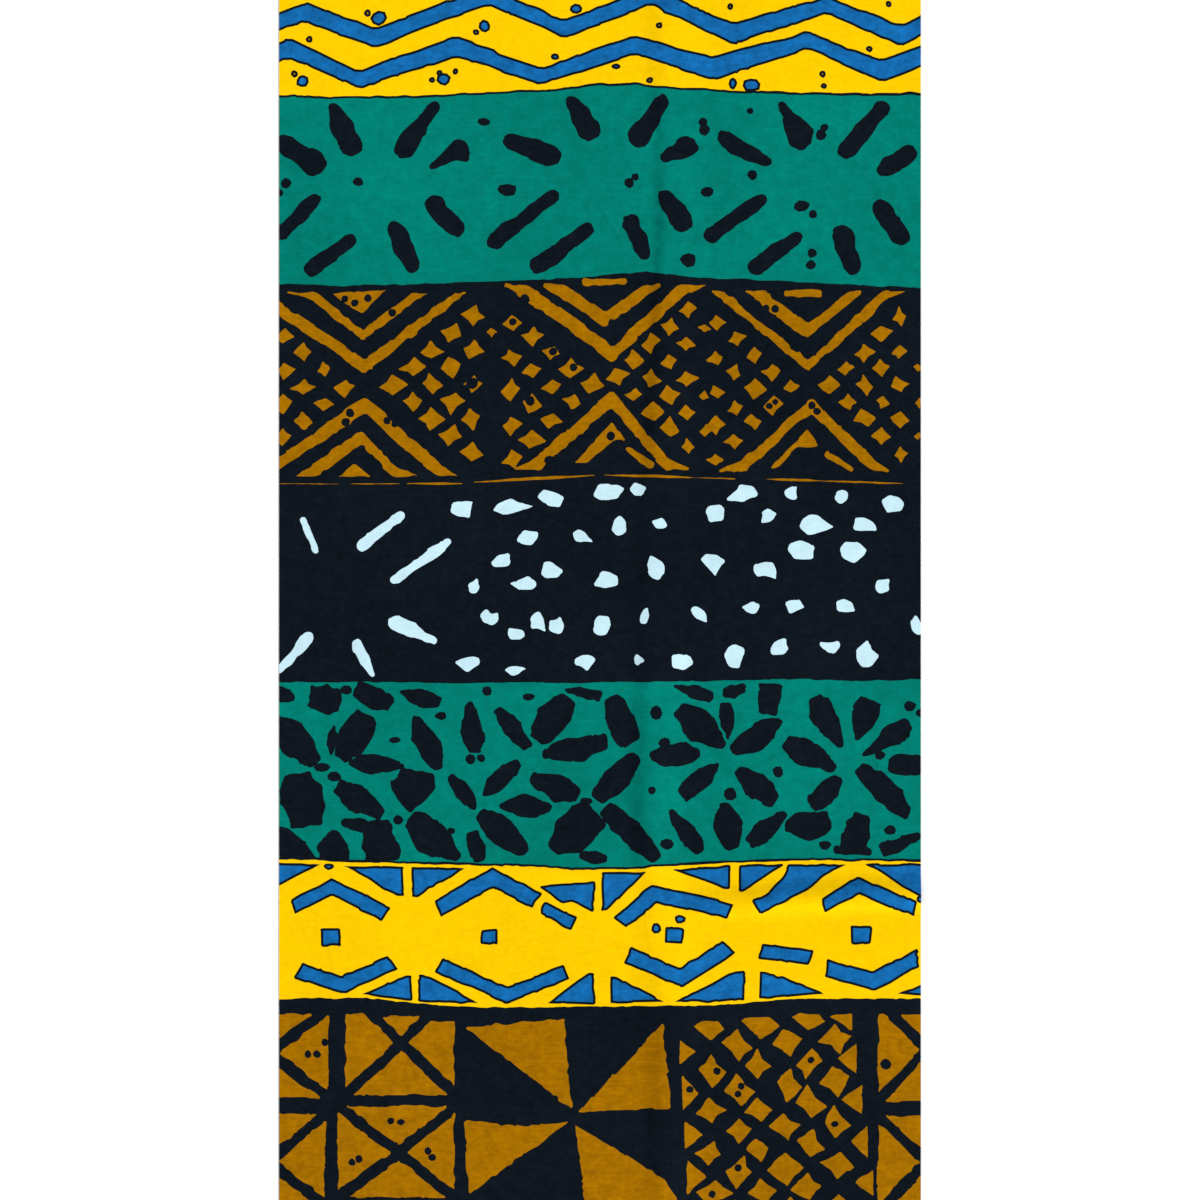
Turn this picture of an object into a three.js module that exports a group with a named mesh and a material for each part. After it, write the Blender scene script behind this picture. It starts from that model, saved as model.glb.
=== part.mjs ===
// A cut length of wax-printed cotton, lying flat and face up on a level surface.
// The cloth is one wall that rests at Z = 0 and lifts only where it was once folded: a press fold
// runs from one selvedge to the other, and cross folds run over it.
import * as THREE from "three";

// ---- Driving dimensions, in millimetres: X across the cut width, Y along the length, Z up. ----
const CLOTH_WIDTH = 457; // half a yard, between the two cut sides
const CLOTH_LENGTH = 1143; // 45 in, between the two selvedges
const WALL = 1; // thickness of the cloth
const FLAT_STEP = 28; // longest edge of the mesh where the cloth lies flat
const FOLD_STEP = 4; // longest edge of the mesh across a fold

const CLOTH_COLOUR = new THREE.Color(0x364e33); // the dark green that the print's dyes average to
const CLOTH_ROUGHNESS = 0.85;

// ---- Folds: a row is a point of the fold's crest. `along` runs with the fold, `crest` is where the
// crest lies across it, and `height` is how far the cloth lifts off the surface there. ----
const PRESS_FOLD = {
  halfWidth: 20,
  rows: [
    { along: -571.5, crest: 41, height: 1.8 },
    { along: -427, crest: 39, height: 2.2 },
    { along: -330, crest: 37, height: 2.4 },
    { along: -260, crest: 36, height: 1.8 },
    { along: -190, crest: 34, height: 2.8 },
    { along: -130, crest: 37, height: 3.0 },
    { along: -60, crest: 36, height: 2.6 },
    { along: 85, crest: 39, height: 2.0 },
    { along: 228, crest: 41, height: 2.2 },
    { along: 335, crest: 39, height: 1.8 },
    { along: 571.5, crest: 36, height: 1.6 },
  ],
};
const CROSS_FOLDS = [
  {
    halfWidth: 14,
    rows: [
      { along: 48, crest: -215, height: 0 },
      { along: 80, crest: -212, height: 1.1 },
      { along: 135, crest: -206, height: 2.3 },
      { along: 228.5, crest: -203, height: 2.6 },
    ],
  },
  {
    halfWidth: 16,
    rows: [
      { along: -228.5, crest: -497, height: 1.9 },
      { along: -90, crest: -501, height: 1.5 },
      { along: 20, crest: -506, height: 0 },
    ],
  },
  {
    halfWidth: 16,
    rows: [
      { along: -150, crest: 512, height: 0 },
      { along: 10, crest: 508, height: 1.2 },
      { along: 130, crest: 503, height: 2.0 },
      { along: 228.5, crest: 501, height: 2.2 },
    ],
  },
];

/** A fold's row at a place along it, eased between the two rows of its table that lie round it. */
function rowAt(fold, along) {
  const { rows } = fold;
  if (along <= rows[0].along) return rows[0];
  const next = rows.findIndex((row) => row.along >= along);
  if (next < 0) return rows[rows.length - 1];
  const [a, b] = [rows[next - 1], rows[next]];
  const share = THREE.MathUtils.smoothstep(along, a.along, b.along);
  return {
    crest: THREE.MathUtils.lerp(a.crest, b.crest, share),
    height: THREE.MathUtils.lerp(a.height, b.height, share),
  };
}

/** How far one fold lifts the cloth at a point `along` it and `across` it: a rounded ridge. */
function ridge(fold, along, across) {
  const { crest, height } = rowAt(fold, along);
  const share = Math.min(1, Math.abs(across - crest) / fold.halfWidth);
  return (height * (1 + Math.cos(Math.PI * share))) / 2;
}

/** Height of the cloth's underside over the surface it lies on: the highest fold wins. */
function lift(x, y) {
  return Math.max(
    ridge(PRESS_FOLD, y, x),
    ...CROSS_FOLDS.map((fold) => ridge(fold, x, y)),
  );
}

/** Evenly spaced places from `from` to `to`, at most `step` apart, without the last one. */
function places(from, to, step) {
  const count = Math.ceil((to - from) / step);
  return Array.from({ length: count }, (_, i) => from + ((to - from) * i) / count);
}

/** Places over a whole side of the cloth: FOLD_STEP apart inside each zone, and FLAT_STEP elsewhere. */
function stations(side, zones) {
  const found = [];
  let reached = -side / 2;
  for (const [low, high] of zones) {
    found.push(...places(reached, low, FLAT_STEP), ...places(low, high, FOLD_STEP));
    reached = high;
  }
  return [...found, ...places(reached, side / 2, FLAT_STEP), side / 2];
}

/** The strip of the cloth that a fold lifts, as its lowest and highest place across it. */
function zoneOf(fold) {
  const crests = fold.rows.map((row) => row.crest);
  return [Math.min(...crests) - fold.halfWidth, Math.max(...crests) + fold.halfWidth];
}

/** Moves a column of the mesh sideways so that it follows the press fold's crest, and not at the cut sides. */
function followPressFold(x, y, middle) {
  const reach = Math.max(0, Math.abs(x - middle) - PRESS_FOLD.halfWidth);
  const room = CLOTH_WIDTH / 2 - Math.sign(x - middle) * middle - PRESS_FOLD.halfWidth;
  return x + (rowAt(PRESS_FOLD, y).crest - middle) * (1 - reach / room);
}

/** The cloth's wall as one closed mesh: a grid for its face, the same grid for its underside, and a rim. */
function clothGeometry() {
  const middle = rowAt(PRESS_FOLD, 0).crest;
  const pressZone = [middle - PRESS_FOLD.halfWidth, middle + PRESS_FOLD.halfWidth];
  const crossZones = CROSS_FOLDS.map(zoneOf).sort((a, b) => a[0] - b[0]);
  const columns = stations(CLOTH_WIDTH, [pressZone]);
  const rows = stations(CLOTH_LENGTH, crossZones);

  const points = [];
  for (const side of [0, WALL]) {
    for (const y of rows) {
      for (const column of columns) {
        const x = followPressFold(column, y, middle);
        points.push(x, y, lift(x, y) + side);
      }
    }
  }

  const face = rows.length * columns.length; // index of the face's first point, after the underside's
  const at = (row, column) => row * columns.length + column;
  const faces = [];
  const quad = (a, b, c, d) => faces.push(a, b, c, a, c, d);
  const lastRow = rows.length - 1;
  const lastColumn = columns.length - 1;
  for (let row = 0; row < lastRow; row++) {
    for (let column = 0; column < lastColumn; column++) {
      const [a, b] = [at(row, column), at(row, column + 1)];
      const [c, d] = [at(row + 1, column + 1), at(row + 1, column)];
      quad(face + a, face + b, face + c, face + d);
      quad(a, d, c, b);
    }
  }
  const rim = (a, b) => quad(a, b, face + b, face + a);
  for (let column = 0; column < lastColumn; column++) {
    rim(at(0, column), at(0, column + 1));
    rim(at(lastRow, column + 1), at(lastRow, column));
  }
  for (let row = 0; row < lastRow; row++) {
    rim(at(row, lastColumn), at(row + 1, lastColumn));
    rim(at(row + 1, 0), at(row, 0));
  }

  const geometry = new THREE.BufferGeometry();
  geometry.setAttribute("position", new THREE.Float32BufferAttribute(points, 3));
  geometry.setIndex(faces);
  geometry.computeVertexNormals();
  return geometry;
}

const cloth = new THREE.Mesh(
  clothGeometry(),
  new THREE.MeshStandardMaterial({
    color: CLOTH_COLOUR,
    roughness: CLOTH_ROUGHNESS,
    metalness: 0,
  }),
);
cloth.name = "cloth";

const fabric = new THREE.Group();
fabric.name = "wax_print_fabric";
fabric.add(cloth);

export default fabric;
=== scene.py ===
"""Half a yard of wax-printed cotton, laid flat and face up on a pale floor.

The print is drawn in millimetres: bands of zigzags, bursts, chevrons, chips, leaves, roofs and blocks.
Short tables say where each piece of a band lies, and a seeded hand cuts it out. The outlines and a grid
are joined into one mesh, each triangle takes the dye of the topmost outline over it, and folds lift the
mesh off the floor. What is handed to Blender is in metres: X across the cut width, Y along the length,
Z up.
"""

from __future__ import annotations

import itertools
import logging
import math
from dataclasses import dataclass, field
from enum import Enum
from typing import Any, Callable, Dict, Iterable, List, NamedTuple, Sequence, Tuple, TypeVar, Union

import bpy
import numpy as np
from bpy.types import Material, NodeSocket, Object
from mathutils import Euler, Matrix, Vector
from mathutils.geometry import delaunay_2d_cdt
from mathutils.kdtree import KDTree

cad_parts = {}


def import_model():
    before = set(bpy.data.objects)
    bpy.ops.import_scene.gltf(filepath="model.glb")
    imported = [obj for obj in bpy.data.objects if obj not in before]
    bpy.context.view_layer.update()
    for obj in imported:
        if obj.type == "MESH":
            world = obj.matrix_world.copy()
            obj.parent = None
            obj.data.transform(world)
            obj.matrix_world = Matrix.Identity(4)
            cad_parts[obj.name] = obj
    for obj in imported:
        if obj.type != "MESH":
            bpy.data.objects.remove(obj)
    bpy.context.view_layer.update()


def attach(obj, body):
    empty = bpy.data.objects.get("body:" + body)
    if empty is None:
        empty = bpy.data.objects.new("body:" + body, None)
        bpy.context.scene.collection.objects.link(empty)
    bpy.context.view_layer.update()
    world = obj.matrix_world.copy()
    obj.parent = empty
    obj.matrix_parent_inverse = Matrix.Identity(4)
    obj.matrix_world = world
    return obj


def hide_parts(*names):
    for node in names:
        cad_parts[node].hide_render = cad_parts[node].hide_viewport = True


log = logging.getLogger("wax_print_fabric")

MM = 0.001  # metres in a millimetre

Points = np.ndarray  # an outline or a line: one row (x, y) for each point, in millimetres
Pair = Tuple[float, float]  # one such point, written out
Shape = Tuple[Pair, ...]  # an outline's corners or a line's knees, written out
Row = TypeVar("Row")


def table(kind: Callable[..., Row], *rows: Sequence[Any]) -> Tuple[Row, ...]:
    """A table's rows, each as the kind of row that names its columns."""
    return tuple(kind(*row) for row in rows)


def placed(name: str, data: bpy.types.ID) -> Object:
    """Puts a mesh, a light or a camera into the scene.

    Args:
        name: The name of its object.
        data: What the object holds.

    Returns:
        The object.
    """
    thing = bpy.data.objects.new(name, data)
    bpy.context.scene.collection.objects.link(thing)
    return thing


# ---- Dyes and finishes ----


class Dye(Enum):
    """The dyes of the print. A dye's value is its place among the cloth's materials."""

    YELLOW = 0
    GREEN = 1
    OCHRE = 2
    WHITE = 3
    BLUE = 4
    BLACK = 5


def linear(color: Tuple[int, int, int]) -> Tuple[float, ...]:
    """Turns a screen colour of 0 to 255 into the linear colour, 0 to 1, that a shader takes."""
    shares = [c / 255 for c in color]
    return tuple(s / 12.92 if s <= 0.04045 else ((s + 0.055) / 1.055) ** 2.4 for s in shares)


@dataclass(frozen=True)
class NodeBench:
    """Adds nodes to a material's or a modifier's tree, and joins them."""

    tree: bpy.types.NodeTree

    def put(self, kind: str, inputs: Dict[Union[int, str], Any], **settings: Any) -> bpy.types.Node:
        """Adds one node.

        Args:
            kind: The node's Blender name.
            inputs: What goes into its sockets: another node's output socket, or a plain value.
            **settings: The node's own settings.

        Returns:
            The new node.
        """
        node = self.tree.nodes.new(kind)
        for name, value in settings.items():
            setattr(node, name, value)
        for key, value in inputs.items():
            if isinstance(value, NodeSocket):
                self.tree.links.new(value, node.inputs[key])
            else:
                node.inputs[key].default_value = value
        return node

    def math(self, operation: str, first: Any, second: Any = 0.0) -> NodeSocket:
        """Adds a Math node on two sockets or values, and returns its output."""
        return self.put("ShaderNodeMath", {0: first, 1: second}, operation=operation).outputs[0]

    def spread(self, value: Any, low: float, high: float, to_low: float, to_high: float) -> Any:
        """Maps the span from low to high onto the span from to_low to to_high, and clamps it there."""
        inputs = {"Value": value, 1: low, 2: high, 3: to_low, 4: to_high}
        return self.put("ShaderNodeMapRange", inputs).outputs["Result"]

    def noise(self, vector: Any, scale: float, detail: float = 2.0) -> NodeSocket:
        """Adds a Noise Texture with `scale` features in a metre, and returns its value."""
        inputs = {"Vector": vector, "Scale": scale, "Detail": detail}
        return self.put("ShaderNodeTexNoise", inputs).outputs[0]

    def stretched(self, place: Any, scale: Tuple[float, float, float]) -> NodeSocket:
        """Scales a place, so that a texture on it is drawn out along one direction."""
        return self.put("ShaderNodeMapping", {"Vector": place, "Scale": scale}).outputs[0]


@dataclass(frozen=True)
class Weave:
    """The plain weave that all the dyes lie on: fine threads, some of them thicker than others."""

    pitch: float = 0.00036
    height: float = 0.00006
    strength: float = 0.12  # how much of the threads' relief shows
    slub_length: float = 0.022
    slub_width: float = 0.0009
    slub_height: float = 0.00018
    slub_strength: float = 0.35  # how much of the slubs' relief shows
    wave_turn: float = 0.314  # pitch of a wave texture at scale 1

    def slubs(self, bench: NodeBench, place: Any, along_x: bool) -> NodeSocket:
        """Adds the thick and thin stretches of the threads of one direction.

        Args:
            bench: Where the nodes go.
            place: The socket of the place on the cloth.
            along_x: True for the weft, which runs along X, and False for the warp.

        Returns:
            The socket of a noise that is drawn out along those threads.
        """
        along, across = 1 / self.slub_length, 1 / self.slub_width
        scale = (along, across, 1) if along_x else (across, along, 1)
        return bench.noise(bench.stretched(place, scale), 1.0, 3.0)

    def bump(self, bench: NodeBench, place: Any, warp: Any, weft: Any) -> NodeSocket:
        """Builds the relief of the threads and returns the normal that it gives.

        Args:
            bench: Where the nodes go.
            place: The socket of the place on the cloth.
            warp: The socket of the slubs that run along Y.
            weft: The socket of the slubs that run along X.

        Returns:
            The socket of the bumped normal.
        """
        scale = self.wave_turn / self.pitch
        waves = [
            bench.put("ShaderNodeTexWave", {"Vector": place, "Scale": scale}, bands_direction=axis)
            for axis in ("X", "Y")
        ]
        threads = bench.math("MULTIPLY", waves[0].outputs["Fac"], waves[1].outputs["Fac"])
        slubs = bench.math("ADD", warp, weft)
        inputs = {"Height": slubs, "Strength": self.slub_strength, "Distance": self.slub_height}
        coarse = bench.put("ShaderNodeBump", inputs)
        inputs = {"Height": threads, "Strength": self.strength, "Distance": self.height}
        return bench.put("ShaderNodeBump", {**inputs, "Normal": coarse.outputs[0]}).outputs[0]


@dataclass(frozen=True)
class DyeFinish:
    """How one dye looks on the cotton. The shares say how far each kind of unevenness darkens it; the slow
    tone is partly painted shade of the cloth's slow swells.
    """

    name: str
    color: Tuple[int, int, int]
    slow_tone_and_shade: float = 0.05  # slow lighter and darker changes over a hand's width: partly uneven dye, partly painted shade of the cloth's slow swells
    mottle: float = 0.05  # patches of a centimetre
    blotch: float = 0.1  # patches of a few millimetres
    grain: float = 0.03  # single threads that took more or less dye
    fleck: float = 0.0  # small dark specks
    roughness: float = 0.82
    rough_spread: float = 0.06  # how far the roughness changes either way
    specular: float = 0.02
    slow_tone_and_shade_scale: float = 9.0  # features in a metre
    mottle_scale: float = 95.0
    blotch_scale: float = 330.0
    fleck_scale: float = 420.0

    def material(self, weave: Weave) -> Material:
        """Makes the dye's material.

        Args:
            weave: The threads that it lies on.

        Returns:
            The material, made of nodes on Object coordinates.
        """
        material = bpy.data.materials.new(self.name)
        material.use_nodes = True
        bench = NodeBench(material.node_tree)
        shader = material.node_tree.nodes["Principled BSDF"]
        place = bench.put("ShaderNodeTexCoord", {}).outputs["Object"]
        warp, weft = (weave.slubs(bench, place, along_x) for along_x in (False, True))
        mottle = bench.noise(place, self.mottle_scale, 4.0)
        blotch = bench.noise(bench.stretched(place, (0.7, 1, 1)), self.blotch_scale, 3.0)
        # The slow tone is partly painted shade: its broad lighter and darker patches stand in for light
        # falling on the cloth's slow swells.
        slow_tone_and_shade = bench.noise(place, self.slow_tone_and_shade_scale)
        light = bench.spread(slow_tone_and_shade, 0.3, 0.7, 1 - self.slow_tone_and_shade, 1 + self.slow_tone_and_shade)
        layers = ((mottle, self.mottle), (blotch, self.blotch), (warp, self.grain), (weft, 2 * self.grain))
        for value, share in layers:
            light = bench.math("MULTIPLY", light, bench.spread(value, 0.25, 0.75, 1 - share, 1 + share))
        if self.fleck:
            specks = bench.noise(place, self.fleck_scale)
            light = bench.math("MULTIPLY", light, bench.spread(specks, 0.64, 0.72, 1, 1 - self.fleck))
        dyed = bench.put("ShaderNodeVectorMath", {0: linear(self.color), "Scale": light}, operation="SCALE")
        rough = (self.roughness - self.rough_spread, self.roughness + self.rough_spread)
        links = {"Base Color": dyed.outputs[0], "Roughness": bench.spread(mottle, 0.3, 0.7, *rough)}
        links["Normal"] = weave.bump(bench, place, warp, weft)
        for name, socket in links.items():
            bench.tree.links.new(socket, shader.inputs[name])
        shader.inputs["Specular IOR Level"].default_value = self.specular
        return material


FINISHES: Dict[Dye, DyeFinish] = {
    Dye.YELLOW: DyeFinish("yellow_dye", (254, 204, 0), slow_tone_and_shade=0.03, mottle=0.04, blotch=0.06, grain=0.02),
    # The green's slow tone of 0.1 is partly painted shade, standing in for light on the cloth's slow
    # swells.
    Dye.GREEN: DyeFinish("green_dye", (0, 125, 112), slow_tone_and_shade=0.1, mottle=0.12, fleck=0.1),
    Dye.OCHRE: DyeFinish("ochre_dye", (164, 109, 0), mottle=0.14, blotch=0.16, grain=0.05),
    Dye.WHITE: DyeFinish("undyed_white", (201, 235, 247), slow_tone_and_shade=0.03, mottle=0.06, blotch=0.04, grain=0.01),
    Dye.BLUE: DyeFinish("blue_dye", (20, 104, 171), slow_tone_and_shade=0.06, mottle=0.24, blotch=0.2, grain=0.04),
    Dye.BLACK: DyeFinish("blue_black_dye", (14, 21, 29), slow_tone_and_shade=0.1, mottle=0.18, blotch=0.25, grain=0.05),
}


# ---- Outlines ----


def turned(points: Points, degrees: float) -> Points:
    """Turns points about the origin, counterclockwise."""
    cos, sin = math.cos(math.radians(degrees)), math.sin(math.radians(degrees))
    return points @ np.array([[cos, sin], [-sin, cos]])


def lengths(steps: Points) -> Points:
    """The length of each step, as a column."""
    return np.maximum(np.linalg.norm(steps, axis=1, keepdims=True), 1e-9)


def counterclockwise(outline: Points) -> Points:
    """The same outline, running counterclockwise."""
    (x, y), (next_x, next_y) = outline.T, np.roll(outline, -1, axis=0).T
    return outline if np.dot(x, next_y) > np.dot(y, next_x) else outline[::-1]


def outward(outline: Points, sharpest: float = 0.6) -> Points:
    """Finds which way is out at each point of a counterclockwise outline.

    Args:
        outline: The outline.
        sharpest: Holds the arrows at sharp corners to 1 / sharpest.

    Returns:
        An arrow for each point, one long on straight sides and longer at corners.
    """
    ahead = np.roll(outline, -1, axis=0) - outline
    ahead = ahead / lengths(ahead)
    mean = ahead + np.roll(ahead, 1, axis=0)
    size = lengths(mean)
    normal = np.column_stack((mean[:, 1], -mean[:, 0])) / size
    return normal / np.maximum(size / 2, sharpest)


def grown(outline: Points, by: float) -> Points:
    """The outline moved out by some millimetres, or in if that is less than 0."""
    return outline + outward(outline) * by


def softened(corners: Points, cut: float, most: float = 0.3) -> Points:
    """Takes the point off each corner.

    Args:
        corners: The outline.
        cut: How far from the corner the cut starts.
        most: The largest share of a side that the cut may take.

    Returns:
        The outline with two blunt corners in place of each.
    """
    sides = (np.roll(corners, turn, axis=0) - corners for turn in (1, -1))
    cuts = [corners + side * np.minimum(cut / lengths(side), most) for side in sides]
    return np.stack(cuts, axis=1).reshape(-1, 2)


def below(corners: Points, level: float) -> Points:
    """Cuts off what lies over a level line.

    Args:
        corners: The outline.
        level: The line's height.

    Returns:
        The outline of what is left.
    """
    kept = []
    for start, end in zip(corners, np.roll(corners, -1, axis=0)):
        if start[1] <= level:
            kept.append(start)
        if (start[1] - level) * (end[1] - level) < 0:
            kept.append(start + (end - start) * (level - start[1]) / (end[1] - start[1]))
    return np.array(kept)


def divided(outline: Points, step: float) -> Points:
    """Adds points to an outline's long sides.

    Args:
        outline: The outline.
        step: The longest side it may keep.

    Returns:
        The outline with the added points.
    """
    pieces = []
    for start, end in zip(outline, np.roll(outline, -1, axis=0)):
        count = max(1, math.ceil(float(np.linalg.norm(end - start)) / step))
        pieces.append(start + (end - start) * np.arange(count)[:, None] / count)
    return np.concatenate(pieces)


def inside(points: Points, outline: Points) -> np.ndarray:
    """Finds which points an outline goes round counterclockwise.

    Args:
        points: The points to test.
        outline: The outline.

    Returns:
        True for each point that is inside.
    """
    x, y = points[:, :1], points[:, 1:]
    (x0, y0), (x1, y1) = outline.T, np.roll(outline, -1, axis=0).T
    left = (x1 - x0) * (y - y0) - (x - x0) * (y1 - y0) > 0
    rising = (y0 <= y) & (y1 > y) & left
    falling = (y0 > y) & (y1 <= y) & ~left
    return rising.sum(axis=1) > falling.sum(axis=1)


@dataclass
class Cutter:
    """Cuts outlines as a hand-held knife does: facets, pointed corners and edges that waver."""

    seed: int
    facet: float = 7.0  # about how far apart the long bends of an edge are
    nick: float = 3.2  # about how far apart its short bends are
    step: float = 1.7  # the longest side that a finished outline keeps
    spike: float = 1.28  # a chip's longest corner, as a share of the others
    dent: float = 0.74  # the corner beside it
    rng: np.random.Generator = field(init=False)

    def __post_init__(self) -> None:
        """Starts the hand's own run of chance."""
        self.rng = np.random.default_rng(self.seed)

    def near(self, value: float, share: float) -> float:
        """A value within some share of the given one."""
        return value * (1 + share * float(self.rng.uniform(-1, 1)))

    def ripple(self, along: np.ndarray, length: float) -> np.ndarray:
        """Draws the wavering of an edge: long facets with short nicks on them.

        Args:
            along: Each point's place along the edge, from 0 to 1.
            length: The edge's length.

        Returns:
            How far each point moves, about 1 at most.
        """
        total = np.zeros(len(along))
        for spacing, size in ((self.facet, 0.75), (self.nick, 0.6)):
            places = self.rng.random(max(3, round(length / spacing)))
            heights = self.rng.uniform(-size, size, len(places))
            total += np.interp(along, np.sort(places), heights, period=1)
        return total

    def cut(self, corners: Any, soft: float = 1.0, waver: float = 0.85) -> Points:
        """Cuts a piece out.

        Args:
            corners: The corners of its outline.
            soft: How far each corner is blunted.
            waver: How far the edge strays.

        Returns:
            The finished outline.
        """
        outline = counterclockwise(np.asarray(corners, float))
        outline = divided(softened(outline, soft), self.step)
        sides = lengths(np.roll(outline, -1, axis=0) - outline)[:, 0]
        along = np.concatenate(([0.0], np.cumsum(sides)[:-1])) / sides.sum()
        stray = self.ripple(along, float(sides.sum())) * waver
        return outline + outward(outline) * stray[:, None]

    def dot(self, row: Dot) -> Points:
        """Cuts a small round dot.

        Args:
            row: Its row of the table.

        Returns:
            The outline.
        """
        angles = np.linspace(0, 2 * math.pi, 9)[:-1] + self.rng.random()
        sizes = row.radius * self.rng.uniform(0.88, 1.14, len(angles))
        ring = np.column_stack((np.cos(angles), np.sin(angles) * row.flat)) * sizes[:, None]
        return ring + (row.x, row.y)

    def chip(self, row: Chip) -> Points:
        """Cuts a small many-sided chip with a spike and a dent beside it.

        Args:
            row: Its row of the table.

        Returns:
            The outline.
        """
        sides = int(self.rng.integers(6, 9))
        spread = self.rng.uniform(-0.3, 0.3, sides)
        angles = (np.arange(sides) + self.rng.random() + spread) * 2 * math.pi / sides
        sizes = self.rng.uniform(0.88, 1.28, sides)[:, None] / 2
        spike = int(self.rng.integers(sides))
        sizes[spike] *= self.near(self.spike, 0.15)
        sizes[spike - 1] *= self.near(self.dent, 0.2)
        ring = np.column_stack((np.cos(angles) * row.wide, np.sin(angles) * row.tall)) * sizes
        return self.cut(turned(ring, row.lean) + (row.x, row.y), waver=0.6)

    def diamond(self, middle: Points, wide: float, tall: float) -> Points:
        """Lays out the corners of a square chip that stands on a corner, its sides a little hollow.

        Args:
            middle: Its middle.
            wide: Its width.
            tall: Its height.

        Returns:
            The corners.
        """
        ring = np.array([(0.5, 0.0), (0.0, 0.5), (-0.5, 0.0), (0.0, -0.5)])
        ring = ring + self.rng.uniform(-0.11, 0.11, (4, 2))
        hollow = (ring + np.roll(ring, -1, axis=0)) / 2 * self.rng.uniform(0.7, 1.1, (4, 1))
        corners = np.stack((ring, hollow), axis=1).reshape(-1, 2) * (wide, tall)
        return turned(corners, float(self.rng.uniform(-12, 12))) + middle

    def spine(self, start: Any, end: Any, profile: Sequence[Pair]) -> Points:
        """Lays half widths out on both sides of a line.

        Args:
            start: The line's first end.
            end: Its last end.
            profile: Pairs of a share of the way along the line and the half width there.

        Returns:
            The corners of the piece.
        """
        start, end = np.asarray(start, float), np.asarray(end, float)
        ahead = end - start
        side = np.array([-ahead[1], ahead[0]]) / np.linalg.norm(ahead)
        left = [start + ahead * t + side * self.near(half, 0.15) for t, half in profile]
        right = [start + ahead * t - side * self.near(half, 0.15) for t, half in reversed(profile)]
        return np.array(left + right)

    def stroke(self, row: Stroke, wobble: float = 0.15) -> Points:
        """Cuts a blunt stroke.

        Args:
            row: Its row of the table.
            wobble: How far its width strays between its ends, as a share.

        Returns:
            The outline.
        """
        start, end = np.array(row[:2]), np.array(row[2:4])
        reach, first, last = float(np.linalg.norm(end - start)), row.first, row.last
        places = (0.0, 0.25, 0.5, 0.75, 1.0)
        middle = [(t, self.near(first + (last - first) * t, wobble)) for t in places]
        profile = [(-0.75 * first / reach, 0.5 * first), *middle, (1 + 0.75 * last / reach, 0.5 * last)]
        return self.cut(self.spine(start, end, profile), soft=1.4)

    def leaf(self, row: Leaf) -> Points:
        """Cuts a broad leaf, fuller on one side of its middle.

        Args:
            row: Its row of the table.

        Returns:
            The outline.
        """
        reach = turned(np.array([[row.long / 2, 0.0]]), row.lean)[0]
        middle = np.array([row.x, row.y])
        first, last = row.start, row.end
        belly = self.near(0.5 + 0.2 * (last - first), 0.15)
        shares = (
            (0.0, first),
            (0.3 * belly, first + (1 - first) * 0.4),
            (0.65 * belly, first + (1 - first) * 0.8),
            (belly, 1.0),
            (belly + 0.4 * (1 - belly), last + (1 - last) * 0.76),
            (belly + 0.75 * (1 - belly), last + (1 - last) * 0.36),
            (1.0, last),
        )
        profile = [(t, size * row.wide / 2) for t, size in shares]
        return self.cut(self.spine(middle - reach, middle + reach, profile), soft=1.1, waver=1.15)

    def bar(self, row: Bar) -> Points:
        """Cuts a straight or bent bar, its ends a little off square.

        Args:
            row: Its row of the table.

        Returns:
            The outline.
        """
        line = np.array(row.knees, float)
        ahead = np.diff(line, axis=0)
        ahead = ahead / lengths(ahead)
        ahead = np.vstack((ahead[:1], (ahead[:-1] + ahead[1:]) / 2, ahead[-1:]))
        side = np.column_stack((-ahead[:, 1], ahead[:, 0])) / lengths(ahead) ** 2
        side[[0, -1]] += ahead[[0, -1]] * self.rng.uniform(-0.35, 0.35, (2, 1))
        half = self.near(row.thick / 2, 0.06)
        return self.cut(np.vstack((line + side * half, (line - side * half)[::-1])), soft=0.8)


# ---- The tables' rows. Places and sizes are in millimetres from the middle of the cloth. ----


class Dot(NamedTuple):
    """A dot, as the wax's bubbles leave it."""

    x: float
    y: float
    radius: float
    flat: float = 1.0


class Bend(NamedTuple):
    """A crest or a trough of a zigzag stripe."""

    x: float
    top: float
    bottom: float


class Stroke(NamedTuple):
    """A stroke from one point to another, with half its width at its first end and its last."""

    x: float
    y: float
    end_x: float
    end_y: float
    first: float
    last: float


class Chevron(NamedTuple):
    """A bent stripe. Its two feet stand on the line at `base`, and `foot` is how wide each is there."""

    base: float
    left: float
    left_foot: float
    tip: float
    outer: float
    inner: float
    right: float
    right_foot: float


class Thread(NamedTuple):
    """A stretch of the thin broken line over a border."""

    start: float
    end: float
    thick: float


class Fan(NamedTuple):
    """Chips in columns that grow by one at each step away from a corner of a lozenge, and sink a little."""

    x: float
    y: float
    step: float
    sink: float
    columns: int
    size: float


class Chip(NamedTuple):
    """A chip left undyed."""

    x: float
    y: float
    wide: float
    tall: float
    lean: float = 0.0


class Leaf(NamedTuple):
    """A leaf: the direction of its length in degrees, and its ends' widths as shares of its own."""

    x: float
    y: float
    long: float
    wide: float
    lean: float
    start: float = 0.25
    end: float = 0.25


class Bar(NamedTuple):
    """A straight or bent bar: its thickness and the points of its middle line."""

    thick: float
    knees: Shape


class Gusset(NamedTuple):
    """A right-angled piece in a unit's corner: its reach along the border, signed, and its drop."""

    x: float
    reach: float
    drop: float


class Cell(NamedTuple):
    """A block of the block band, from side to side and from bottom to top."""

    left: float
    right: float
    bottom: float
    top: float


# ---- Bands of the print ----


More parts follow.
